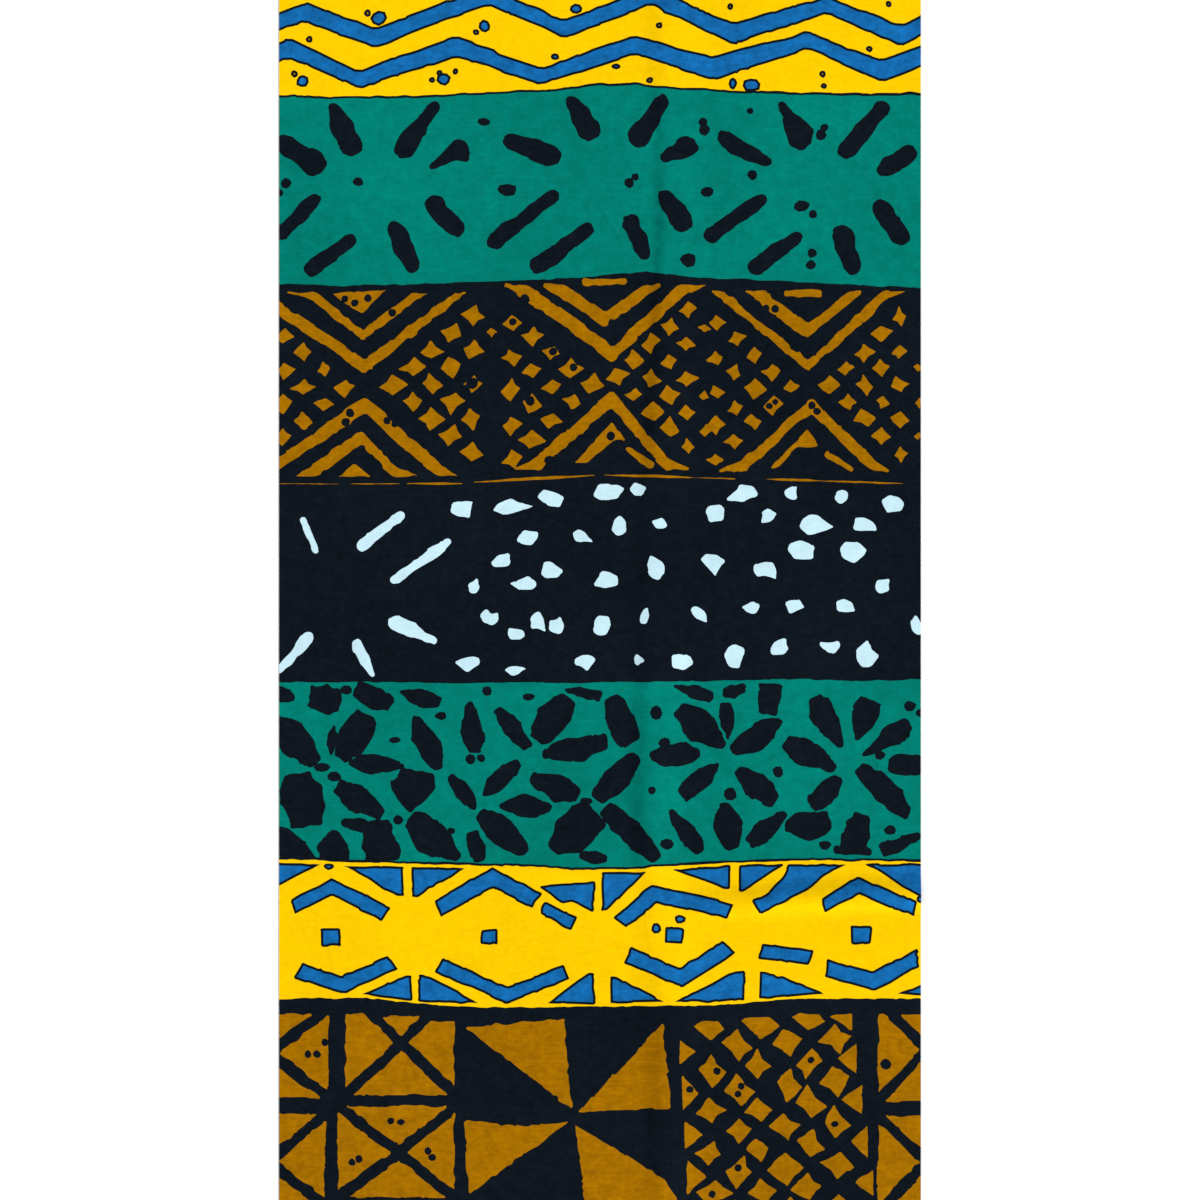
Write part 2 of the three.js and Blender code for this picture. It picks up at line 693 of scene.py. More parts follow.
@dataclass
class Border:
    """A line across the cloth where one band ends and the next starts."""

    knots: Shape
    seed: int
    half_width: float = 231.0
    step: float = 2.6
    stray: float = 0.6
    line_stray: float = 0.12  # how far a drawn line's edges stray, as a share of its width
    line: Points = field(init=False)

    def __post_init__(self) -> None:
        """Draws the line once."""
        x = np.arange(-self.half_width, self.half_width + self.step, self.step)
        y = np.interp(x, *zip(*self.knots))
        along = (x + self.half_width) / (2 * self.half_width)
        ripple = Cutter(self.seed).ripple(along, 2 * self.half_width)
        self.line = np.column_stack((x, y + ripple * self.stray))

    def level(self, x: Any) -> Any:
        """Height of the line at x."""
        return np.interp(x, self.line[:, 0], self.line[:, 1])

    def ribbon(self, half: float, cutter: Cutter) -> Points:
        """Draws a ribbon that runs along the border.

        Args:
            half: Half its width.
            cutter: The hand that draws it.

        Returns:
            The outline.
        """
        along = np.linspace(0, 1, len(self.line))
        edges = []
        for rise in (-half, half):
            stray = self.line_stray * (2 * half) * cutter.ripple(along, 2 * self.half_width)
            edges.append(self.line + np.column_stack((np.zeros(len(along)), rise + stray)))
        return np.vstack((edges[0], edges[1][::-1]))


@dataclass(frozen=True)
class Motif:
    """A piece of the print in one dye."""

    outline: Points
    dye: Dye


@dataclass
class Band:
    """One band of the print, between two borders. Each kind of band adds its own pieces."""

    top: Border
    bottom: Border
    ground: Dye
    seed: int
    dots: Tuple[Dot, ...] = ()
    line_width: float = 1.8  # width of a drawn line, and half its width on a border
    facet: float = 7.0
    nick: float = 3.2
    figure: Dye = Dye.BLACK  # the dye of its pieces
    cutter: Cutter = field(init=False)

    def __post_init__(self) -> None:
        """Gives the band its own cutting hand."""
        self.cutter = Cutter(self.seed, facet=self.facet, nick=self.nick)

    def covers(self, points: Points, shift: float) -> np.ndarray:
        """True for each point that lies in this band, or in its repeat `shift` up the cloth."""
        x, y = points.T
        return (y <= self.top.level(x) + shift) & (y > self.bottom.level(x) + shift)

    def pieces(self) -> Iterable[Points]:
        """The outlines in the figure's dye, from the lowest to the highest."""
        return ()

    def motifs(self) -> List[Motif]:
        """The whole band, from the lowest layer to the highest: its pieces, then black dots."""
        figures = [Motif(outline, self.figure) for outline in self.pieces()]
        return figures + [Motif(self.cutter.dot(dot), Dye.BLACK) for dot in self.dots]

    def outlined(self, outline: Points, fill: Dye = Dye.BLUE) -> List[Motif]:
        """A piece with a drawn line round it, the outline being the line's outer edge."""
        return [Motif(outline, Dye.BLACK), Motif(grown(outline, -self.line_width), fill)]

    def edge_lines(self) -> List[Motif]:
        """The drawn lines along the band's two borders."""
        borders = (self.top, self.bottom)
        return [Motif(border.ribbon(self.line_width, self.cutter), Dye.BLACK) for border in borders]


@dataclass
class ZigzagBand(Band):
    """Outlined blue zigzag stripes on yellow, with small outlined blots between them."""

    stripes: Tuple[Tuple[Bend, ...], ...] = ()
    blots: Tuple[Dot, ...] = ()
    facet: float = 11.0
    nick: float = 5.5

    def motifs(self) -> List[Motif]:
        """Draws the borders, the stripes, the blots and the dots.

        Returns:
            The motifs, from the lowest to the highest.
        """
        pieces = self.edge_lines()
        for bends in self.stripes:
            top = [(bend.x, bend.top) for bend in bends]
            bottom = [(bend.x, bend.bottom) for bend in reversed(bends)]
            pieces += self.outlined(self.cutter.cut(top + bottom, soft=2.4, waver=0.9))
        for blot in self.blots:
            pieces += self.outlined(self.cutter.dot(blot))
        for dot in self.dots:
            pieces += self.outlined(self.cutter.dot(dot), Dye.OCHRE)
        return pieces


@dataclass
class BurstBand(Band):
    """Bursts of black strokes on green."""

    strokes: Tuple[Stroke, ...] = ()

    def pieces(self) -> Iterable[Points]:
        """The strokes."""
        return [self.cutter.stroke(row) for row in self.strokes]


@dataclass
class ChevronBand(Band):
    """Ochre chevrons from both borders, with lozenges of chips between them, on black."""

    chevrons: Tuple[Chevron, ...] = ()
    wedges: Tuple[Shape, ...] = ()
    strokes: Tuple[Stroke, ...] = ()
    fans: Tuple[Fan, ...] = ()
    threads: Tuple[Thread, ...] = ()
    chip_gap: float = 24.2
    fan_reach: float = 58.0
    sparse_column: int = 5  # the column of a fan where half the chips are missing
    sparse_size: float = 0.6  # and the others are smaller
    flare: float = 3.0  # how far out of line with its leg a foot is before it has a knee
    flare_width: float = 7.0  # how far in from the leg's line the knee is
    thread_rise: float = 1.5  # how far over the border the thin broken line runs
    thread_tip: float = 0.15
    jitter: float = 0.7  # how far a chip is out of place
    figure: Dye = Dye.OCHRE

    def foot(self, row: Chevron, end: float, wide: float) -> List[Pair]:
        """Finds the corners of one foot, which flares where it is wider than its leg.

        Args:
            row: The chevron.
            end: The x of the foot's outer corner.
            wide: The foot's width, signed towards the tip.

        Returns:
            The outer corner's side first: the knee where there is one, the outer corner and the inner one.
        """
        inner = end + wide
        slope = (row.base - row.inner) / (inner - row.tip)
        knee = row.tip + (row.base - row.outer) / slope
        corners = [(end, row.base), (inner, row.base)]
        if (knee - end) * wide > 0 and abs(knee - end) > self.flare:
            back = math.copysign(self.flare_width, wide)
            corners.insert(0, (knee + back, row.base + slope * back))
        return corners

    def chevron(self, row: Chevron) -> Points:
        """Cuts one chevron.

        Args:
            row: Its row of the table.

        Returns:
            The outline.
        """
        left = self.foot(row, row.left, row.left_foot)
        right = self.foot(row, row.right, -row.right_foot)
        corners = [*left, (row.tip, row.inner), *reversed(right), (row.tip, row.outer)]
        return self.cutter.cut(corners, soft=1.6, waver=1.2)

    def fan(self, row: Fan) -> Iterable[Points]:
        """Cuts the chips of one fan.

        Args:
            row: Its row of the table.

        Yields:
            Each chip's outline.
        """
        hand = self.cutter
        for column in range(row.columns):
            for place in range(column + 1):
                rise = (place - column / 2) * self.chip_gap
                sparse = column == self.sparse_column
                if abs(rise) > self.fan_reach or (sparse and hand.rng.random() < 0.5):
                    continue
                size = row.size * (self.sparse_size if sparse else 1.0)
                middle = np.array([row.x + row.step * column, row.y + rise - row.sink * column])
                middle += hand.rng.uniform(-self.jitter, self.jitter, 2)
                wide, tall = hand.near(size, 0.2), hand.near(size * 0.9, 0.2)
                yield hand.cut(hand.diamond(middle, wide, tall), soft=0.5, waver=0.45)

    def pieces(self) -> Iterable[Points]:
        """Cuts the chevrons, wedges, slivers and chips, and the thin broken line.

        Returns:
            The outlines.
        """
        outlines = [self.chevron(row) for row in self.chevrons]
        outlines += [self.cutter.cut(corners) for corners in self.wedges]
        outlines += [self.cutter.stroke(row) for row in self.strokes]
        for row in self.fans:
            outlines += self.fan(row)
        for row in self.threads:
            start, end = ((x, self.bottom.level(x) + self.thread_rise) for x in (row.start, row.end))
            tip, half = self.thread_tip, row.thick / 2
            profile = [(0.0, tip), (0.3, half), (0.7, half), (1.0, tip)]
            outlines.append(self.cutter.cut(self.cutter.spine(start, end, profile), waver=0.3))
        return outlines


@dataclass
class ChipBand(Band):
    """Undyed strokes and rows of chips on black."""

    strokes: Tuple[Stroke, ...] = ()
    chips: Tuple[Chip, ...] = ()
    figure: Dye = Dye.WHITE

    def pieces(self) -> Iterable[Points]:
        """The strokes and the chips."""
        strokes = [self.cutter.stroke(row, wobble=0.3) for row in self.strokes]
        return strokes + [self.cutter.chip(row) for row in self.chips]


@dataclass
class LeafBand(Band):
    """Rosettes of black leaves on green."""

    leaves: Tuple[Leaf, ...] = ()

    def pieces(self) -> Iterable[Points]:
        """The leaves."""
        return [self.cutter.leaf(row) for row in self.leaves]


@dataclass
class RoofBand(Band):
    """Outlined blue roofs, bowls, squares and corner gussets on yellow."""

    patches: Tuple[Shape, ...] = ()
    bars: Tuple[Bar, ...] = ()
    squares: Tuple[Chip, ...] = ()
    top_gussets: Tuple[Gusset, ...] = ()
    bottom_gussets: Tuple[Gusset, ...] = ()
    blots: Tuple[Dot, ...] = ()
    edge_gap: float = 3.6  # how far a gusset stays from its border
    gusset_tip: float = 0.8  # how much farther its tip stays
    gusset_foot: float = 0.12  # width of its foot, as a share of its reach
    jitter: float = 0.7  # how far a square's corners are out of place
    facet: float = 9.0
    nick: float = 4.5

    def gusset(self, row: Gusset, border: Border, side: int) -> Points:
        """Cuts a corner gusset.

        Args:
            row: Its row of the table.
            border: The border that it hangs from or stands on.
            side: 1 under the top border, and -1 over the bottom one.

        Returns:
            The outline.
        """
        edge = [border.level(row.x + row.reach * share) - side * self.edge_gap for share in (0, 0.5, 1)]
        corners = [
            (row.x, edge[0]),
            (row.x + row.reach * 0.5, edge[1]),
            (row.x + row.reach, edge[2] - side * self.gusset_tip),
            (row.x + row.reach * self.gusset_foot, edge[0] - side * row.drop),
            (row.x, edge[0] - side * row.drop),
        ]
        return self.cutter.cut(corners, soft=0.8, waver=0.8)

    def motifs(self) -> List[Motif]:
        """Draws the borders, the patches, the gussets, the bars, the squares and the blots.

        Returns:
            The motifs, from the lowest to the highest.
        """
        hand = self.cutter
        outlines = [hand.cut(corners) for corners in self.patches]
        outlines += [self.gusset(row, self.top, 1) for row in self.top_gussets]
        outlines += [self.gusset(row, self.bottom, -1) for row in self.bottom_gussets]
        outlines += [hand.bar(row) for row in self.bars]
        for row in self.squares:
            half = np.array([(1, 1), (-1, 1), (-1, -1), (1, -1)]) * (row.wide / 2, row.tall / 2)
            half = turned(half + hand.rng.uniform(-self.jitter, self.jitter, half.shape), row.lean)
            outlines.append(hand.cut(half + (row.x, row.y)))
        outlines += [hand.dot(row) for row in self.blots]
        pieces = self.edge_lines()
        for outline in outlines:
            pieces += self.outlined(outline)
        return pieces


@dataclass
class BlockBand(Band):
    """Ochre blocks on black: crossed cells, a pinwheel and a lattice of chips."""

    crossed: Tuple[Cell, ...] = ()
    sails: Tuple[Shape, ...] = ()
    lattice: Cell = Cell(0, 0, 0, 0)
    lattice_step: float = 34.7
    lattice_row: float = 14.9
    lattice_columns: int = 3
    lattice_inset: float = 4.0  # how far under the lattice's top its first row lies
    level_at: float = 60.0  # how far in from the left side the slanting rows have that height
    even_start: float = 23.0  # how far in from the left side the first chip of an even row is
    odd_start: float = 42.5
    chip_size: Pair = (22.5, 20.5)
    half_chip: Pair = (13.0, 10.5)  # a half chip's width, and half its height
    jitter: float = 1.1  # how far a chip is out of place
    climb: float = 0.08  # how far the lattice's rows rise to the right
    left_lean: float = 0.06  # how far its left side leans in downwards
    right_lean: float = 0.13  # how far its right side leans out downwards
    spoke: float = 3.9  # half the width of the black bars between a cell's triangles
    margin: float = 9.5  # how far under the top border the blocks start
    figure: Dye = Dye.OCHRE

    def trimmed(self, corners: Points, waver: float = 1.15) -> Points:
        """Cuts a piece out below the black margin of the top border."""
        level = float(self.top.level(corners[:, 0].mean())) - self.margin
        return self.cutter.cut(below(corners, level), soft=0.6, waver=waver)

    def quarters(self, cell: Cell) -> Iterable[Points]:
        """Cuts the four triangles that a cell's diagonals leave.

        Args:
            cell: The cell.

        Yields:
            Each triangle's outline.
        """
        left, right, bottom, top = cell
        ring = np.array([(left, bottom), (right, bottom), (right, top), (left, top)])
        middle = ring.mean(axis=0) + self.cutter.rng.uniform(-2, 2, 2)
        for start, end in zip(ring, np.roll(ring, -1, axis=0)):
            yield self.trimmed(self.spoked(start, end, middle))

    def spoked(self, start: Points, end: Points, middle: Points) -> Points:
        """Draws a triangle's two slanting sides in by half a spoke.

        Args:
            start: One end of the side that it shares with its cell.
            end: The other end.
            middle: The cell's middle.

        Returns:
            The smaller triangle.
        """
        run, rise = (end - start) / 2, middle - (start + end) / 2
        half, height = float(np.linalg.norm(run)), float(np.linalg.norm(rise))
        slant = math.hypot(half, height)
        gap = run / half * self.spoke * slant / height
        return np.array([start + gap, end - gap, middle - rise / height * self.spoke * slant / half])

    def grid(self) -> Iterable[Points]:
        """Cuts the lattice's chips, with half ones along its two sides.

        Yields:
            Each chip's outline.
        """
        cell, hand = self.lattice, self.cutter
        wide, tall = self.chip_size
        for row in range(int((cell.top - cell.bottom) / self.lattice_row) + 1):
            drop = row * self.lattice_row
            start, edge, way = self.even_start, cell.right + self.right_lean * drop, -1
            if row % 2:
                start, edge, way = self.odd_start, cell.left + self.left_lean * drop, 1
            for x in cell.left + start + np.arange(self.lattice_columns) * self.lattice_step:
                y = cell.top - self.lattice_inset - drop + self.climb * (x - cell.left - self.level_at)
                middle = np.array([x, y]) + hand.rng.uniform(-self.jitter, self.jitter, 2)
                yield self.trimmed(hand.diamond(middle, hand.near(wide, 0.12), hand.near(tall, 0.12)), 0.7)
            y = cell.top - self.lattice_inset - drop + self.climb * (edge - cell.left - self.level_at)
            reach, half = self.half_chip
            half = hand.near(half, 0.2)
            corners = [(edge, y - half), (edge + way * hand.near(reach, 0.2), y), (edge, y + half)]
            yield self.trimmed(np.array(corners), 0.7)

    def pieces(self) -> Iterable[Points]:
        """Cuts the crossed cells, the pinwheel and the lattice.

        Returns:
            The outlines.
        """
        outlines = [outline for cell in self.crossed for outline in self.quarters(cell)]
        outlines += [self.cutter.cut(sail, waver=1.2) for sail in self.sails]
        return outlines + list(self.grid())


# ---- The print's own tables ----

ZIGZAG_TOP = Border(((-231, 465), (0, 468), (231, 465)), 10)
ZIGZAG_BOTTOM = Border(
    (
        (-228, 358.3), (-182, 357), (-132, 357.6), (-86, 359.8), (-32, 362.6), (0, 366.2), (25, 366.9),
        (39, 364.7), (100, 361.2), (178, 359), (228, 359.5),
    ),
    11,
)
BURST_BOTTOM = Border(
    (
        (-228, 225), (-182, 223.7), (-107, 225.8), (-43, 228), (0, 230.8), (32, 233.7), (64, 230.1),
        (114, 228), (171, 225), (228, 222.3),
    ),
    12,
)
CHEVRON_BOTTOM = Border(
    ((-228, 81.2), (-100, 81.2), (-86, 82.6), (-14, 87), (7, 87.6), (86, 84.8), (142, 84), (228, 81)),
    13,
    stray=0.3,
)
CHIP_BOTTOM = Border(
    ((-228, -58.4), (-36, -59.1), (28, -58.4), (142, -56.3), (185, -57.7), (228, -56.3)),
    14,
)
LEAF_BOTTOM = Border(
    (
        (-228, -182.4), (-185, -184.5), (-114, -186.6), (-50, -188.1), (-21, -190.2), (25, -190.2),
        (36, -188.1), (86, -186), (142, -183.8), (228, -184.5),
    ),
    15,
)
ROOF_BOTTOM = Border(
    (
        (-228, -285.7), (-171, -285), (-128, -289.2), (-86, -292.1), (0, -291.4), (64, -290.7),
        (100, -289.2), (142, -285.7), (228, -285.7),
    ),
    16,
)
REPEAT = 908.0  # length of the design before it starts again
SHIFTS = (0.0, REPEAT, -REPEAT)  # how far up the cloth each of its repeats lies
BLOCK_BOTTOM = Border(tuple((x, y - REPEAT) for x, y in ZIGZAG_TOP.knots), ZIGZAG_TOP.seed)


def zigzag_band() -> ZigzagBand:
    """Sets out the band of blue zigzags.

    Returns:
        The band.
    """
    lower = table(
        Bend,
        (-245, 389, 374.5), (-222, 401, 386.5), (-172, 377.5, 364), (-103, 402, 386.5), (-42, 379, 367),
        (24, 402.5, 388), (81, 387, 370), (148, 405, 392), (201, 384.5, 369), (245, 402, 386),
    )
    upper = table(
        Bend,
        (-245, 413, 398), (-210, 426, 412), (-160, 407.5, 392), (-80, 438, 424), (-26, 413, 400),
        (36, 437, 423), (95, 411, 395.5), (162, 430, 417), (214, 410, 394), (245, 424, 410),
    )
    blots = table(
        Dot,
        (-157.7, 414.4, 6, 0.9), (-82.2, 408.4, 4.7), (-17, 420.8, 4.7, 0.8), (-212, 369.7, 4.6),
        (-111.4, 371, 5), (94.7, 368, 3.2, 1.4), (107.8, 366.8, 6.4, 0.8), (-32, 387, 3.2, 0.8),
        (11.6, 380, 3.4, 0.6), (-190, 446, 5), (60, 450, 5, 0.8), (128, 447, 4.4),
    )
    dots = table(
        Dot,
        (-165.6, 418, 2.6), (-88.4, 404.4, 2.4), (42.2, 409, 2.5), (35.3, 370, 2.6, 0.9),
        (-207, 399.4, 2.5), (-217.6, 374.7, 2.6), (-119.7, 370.4, 2.2), (-114.3, 375.4, 2.2),
        (-103, 376.4, 2.3), (92.8, 422.7, 2.4), (205.6, 424.4, 2.4), (158.6, 374.5, 2.5),
        (159.3, 366.2, 2.3), (191.8, 392.5, 2.4), (-180, 452, 2.4), (70, 443, 2.4),
    )
    return ZigzagBand(ZIGZAG_TOP, ZIGZAG_BOTTOM, Dye.YELLOW, 101, dots, stripes=(lower, upper), blots=blots)


def burst_band() -> BurstBand:
    """Sets out the upper green band, with three bursts of eight strokes.

    Returns:
        The band.
    """
    strokes = table(
        Stroke,
        (-189.8, 350, -176, 323, 5.4, 8.8), (-118, 351.5, -141, 320.5, 4.9, 7.8),
        (-98.4, 320.5, -120.5, 308.7, 7.3, 2.4), (-229, 327, -201.7, 310, 5.2, 8.8),
        (-203, 285.5, -228, 260, 5.1, 4.7), (-177.4, 257, -205.2, 235.6, 4.1, 6.3),
        (-146.4, 265, -134, 238.7, 6.8, 6.8), (-118.6, 282, -101.2, 263.6, 7.2, 6.6),
        (-20, 355.3, -7, 334.5, 5.2, 9.1), (44, 355.4, 26.7, 328.2, 5.3, 7.2),
        (64, 323, 45.8, 314.7, 7.5, 3.7), (-65, 327.7, -34.2, 315.8, 6.1, 7.8),
        (-33, 288.5, -76, 254.8, 4.9, 5.6), (-8, 264.5, -45, 237.5, 5.2, 6.4),
        (22, 269.5, 32.2, 245.8, 6.6, 5.0), (45.8, 288, 60, 268, 5.6, 7.4), (129, 353, 144, 329, 2.6, 9.4),
        (202, 350.3, 175.5, 320.4, 5.6, 7.8), (220, 318.3, 201, 306.3, 7.8, 5.3),
        (87.5, 329, 118, 312.3, 6.1, 5.3), (115, 285, 78, 259.3, 4.6, 5.4),
        (140.5, 258.5, 110.5, 237.5, 5.2, 6.8), (172.3, 261, 180.6, 236, 7.6, 5.6),
        (199, 280.5, 215, 258.5, 6.6, 6.8),
    )
    dots = table(
        Dot,
        (-223.7, 297, 3.7), (-228, 290, 2.6), (-172.4, 297.8, 4.0, 0.8), (-82.6, 340.5, 4.6, 0.7),
        (-66.3, 292, 7.4, 0.56), (20.7, 297, 3.7), (25, 301.4, 2.8), (73.4, 340.5, 3.2),
        (74.4, 334.8, 4.1), (106.9, 348.4, 2.5), (108.3, 302.8, 3.7), (76.2, 290.7, 4.6, 0.8),
        (62.7, 242.2, 6.2, 0.8), (143.9, 280.7, 5.8, 0.7), (151.7, 275, 3.2), (157.4, 331.3, 4.1),
        (159.6, 336.3, 3.0), (151, 247.2, 3.4), (150.3, 238.7, 3.7),
    )
    return BurstBand(ZIGZAG_BOTTOM, BURST_BOTTOM, Dye.GREEN, 102, dots, strokes=strokes)


def chevron_band() -> ChevronBand:
    """Sets out the band of ochre chevrons.

    Returns:
        The band.
    """
    chevrons = table(
        Chevron,
        (219.4, -256, 17, -168, 161, 170.5, -94, 9), (219.4, -224, 21, -169, 184.5, 192.5, -119, 14),
        (224.5, -68, 16, 9, 170, 180.5, 77, 21), (224.5, -40.6, 15.7, 3.6, 194.5, 205, 43.5, 12),
        (220.5, 78.4, 9, 148, 162.4, 170.5, 222.3, 20), (220.5, 102.6, 14, 147.5, 185.2, 197, 187.4, 10),
        (87.8, -249, 13, -167, 144.5, 133, -99, 18), (87.8, -218, 16, -169, 121.5, 110.5, -128, 21),
        (93, -62, 19, 8.5, 148.5, 137.5, 64, 18), (91.5, 84, 19, 150.5, 143.5, 134, 206.6, 13),
    )
    wedges = (
        ((-192, 218.7), (-152, 221), (-169.5, 203.5)),
        ((-186.6, 87.6), (-163, 87.6), (-175, 97)),
        ((-18.5, 97.5), (-9, 98), (11, 114), (18, 113.5), (8.5, 127)),
        ((121, 93.5), (127, 95), (140, 109), (155.5, 109.5), (147.5, 122)),
        ((-12, 223.5), (18.5, 225.5), (18.5, 229), (-12, 228.5)),
        ((131, 216), (158, 215.5), (158, 220.5), (131, 220.5)),
    )
    slivers = table(Stroke, (20, 108, 36, 96, 1.6, 3), (162, 104, 179, 93, 2, 1.2))
    fans = table(
        Fan,
        (-182, 151.5, -14.5, 0, 5, 14.0), (-148, 153.7, 14.2, 0, 6, 16.5),
        (-5.5, 155, -14.4, 1.5, 5, 15.5), (12, 159.6, 12.5, 0.5, 6, 14.5), (136.2, 152, -13.4, 1, 5, 13.5),
        (163.5, 153, 12.6, 0, 6, 13.5),
    )
    threads = table(
        Thread,
        (-231, -186, 0.5), (-180, -142, 0.5), (-137, -98, 1.5), (-90, -4, 1.9), (3, 66, 1.9),
        (66, 96, 0.7), (117, 160, 1.8), (158, 216, 1.4),
    )
    dots = table(
        Dot,
        (-181.7, 214.4, 2.6), (-174.5, 211.6, 2.8), (-165.3, 215, 3), (-148, 204.5, 2.8),
        (-178, 133.2, 3.2), (-181, 126.8, 3.2), (-151.7, 127.5, 2.8), (-146, 125.4, 2.8),
        (-35.6, 99.5, 4, 0.8), (-53.4, 214.4, 3.4), (-62, 198, 2.8), (-33.5, 176.7, 3), (-19, 166, 3),
        (8.5, 197.3, 3), (7.8, 116.8, 3.2), (26.4, 134, 3.4), (-91.2, 154.5, 4.2), (118.3, 208, 2.6),
        (124.7, 207.3, 3), (120.6, 138.2, 2.5), (124.8, 141, 2.3), (151, 138.4, 2.9), (154.6, 134.4, 2.7),
        (-50, 141.8, 3.6),
    )
    tables = {"chevrons": chevrons, "wedges": wedges, "strokes": slivers, "fans": fans, "threads": threads}
    return ChevronBand(BURST_BOTTOM, CHEVRON_BOTTOM, Dye.BLACK, 103, dots, **tables)


def chip_band() -> ChipBand:
    """Sets out the band of undyed strokes and chips.

    Returns:
        The band.
    """
    strokes = table(
        Stroke,
        (-211.6, 57.6, -202.3, 35, 1.9, 2.2), (-170.3, 38.5, -142, 59.8, 4.1, 3.2),
        (-146, 14.2, -108, 41.3, 3.7, 3.0), (-207.4, -26.4, -229, -50, 4.4, 2.5),
        (-173, -32, -161.4, -53.5, 6.1, 1.1), (-146.8, -15.7, -118.3, -29.2, 5.4, 2.8),
    )
    chips = table(
        Chip,
        (-98.3, 64.8, 19, 11, -15), (-64, 65.5, 21, 12, 8), (-33.5, 72, 20, 12, -5),
        (5.7, 76.2, 21, 13, 5), (27, 78.5, 12, 9, 20), (102.6, 76.2, 17, 11), (136, 75.5, 10, 8),
        (172.4, 74, 10, 9), (208, 68.4, 14, 12), (-51.3, 44.2, 15, 11), (-14.2, 44.9, 12, 9, -15),
        (13.5, 52, 12, 13), (42.7, 54.9, 9, 9), (82, 62, 14, 11), (119.7, 59.8, 13, 9),
        (151.7, 54, 17, 15), (187.4, 53.4, 17, 12), (-69.8, 27.8, 15, 9, 15), (-35, 20.7, 16, 13),
        (-52.7, 12, 16, 10, -10), (-89.8, 9.3, 9, 10), (5, 14.2, 17, 13), (40, 22, 11, 14),
        (79.8, 27, 16, 13), (117.5, 20.7, 17, 13, -10), (144.6, 34.2, 19, 12, -15), (179.5, 34.9, 18, 14),
        (201.6, 10, 12, 10), (-78.4, -12.8, 13, 10), (-59.8, -24.2, 14, 8), (-44.9, -15, 10, 13),
        (-31.3, -17.8, 10, 11), (1.4, -17.8, 13, 14), (32, -11.4, 7, 13, -10), (70.5, -10, 7, 14, 35),
        (109, -5, 10, 9), (138.2, -4.3, 15, 11), (174.5, -5, 14, 10), (226, -18.5, 9, 12),
        (-95.5, -44.9, 18, 10), (-61.3, -49.9, 14, 7), (-10, -43.5, 14, 11), (27, -43.5, 6, 8),
        (57.7, -44.2, 15, 12), (95.5, -40.6, 15, 15), (128.2, -33.5, 15, 10, 8), (164.6, -33.5, 13, 9),
        (190.2, -39.9, 14, 16),
    )
    return ChipBand(CHEVRON_BOTTOM, CHIP_BOTTOM, Dye.BLACK, 104, strokes=strokes, chips=chips)


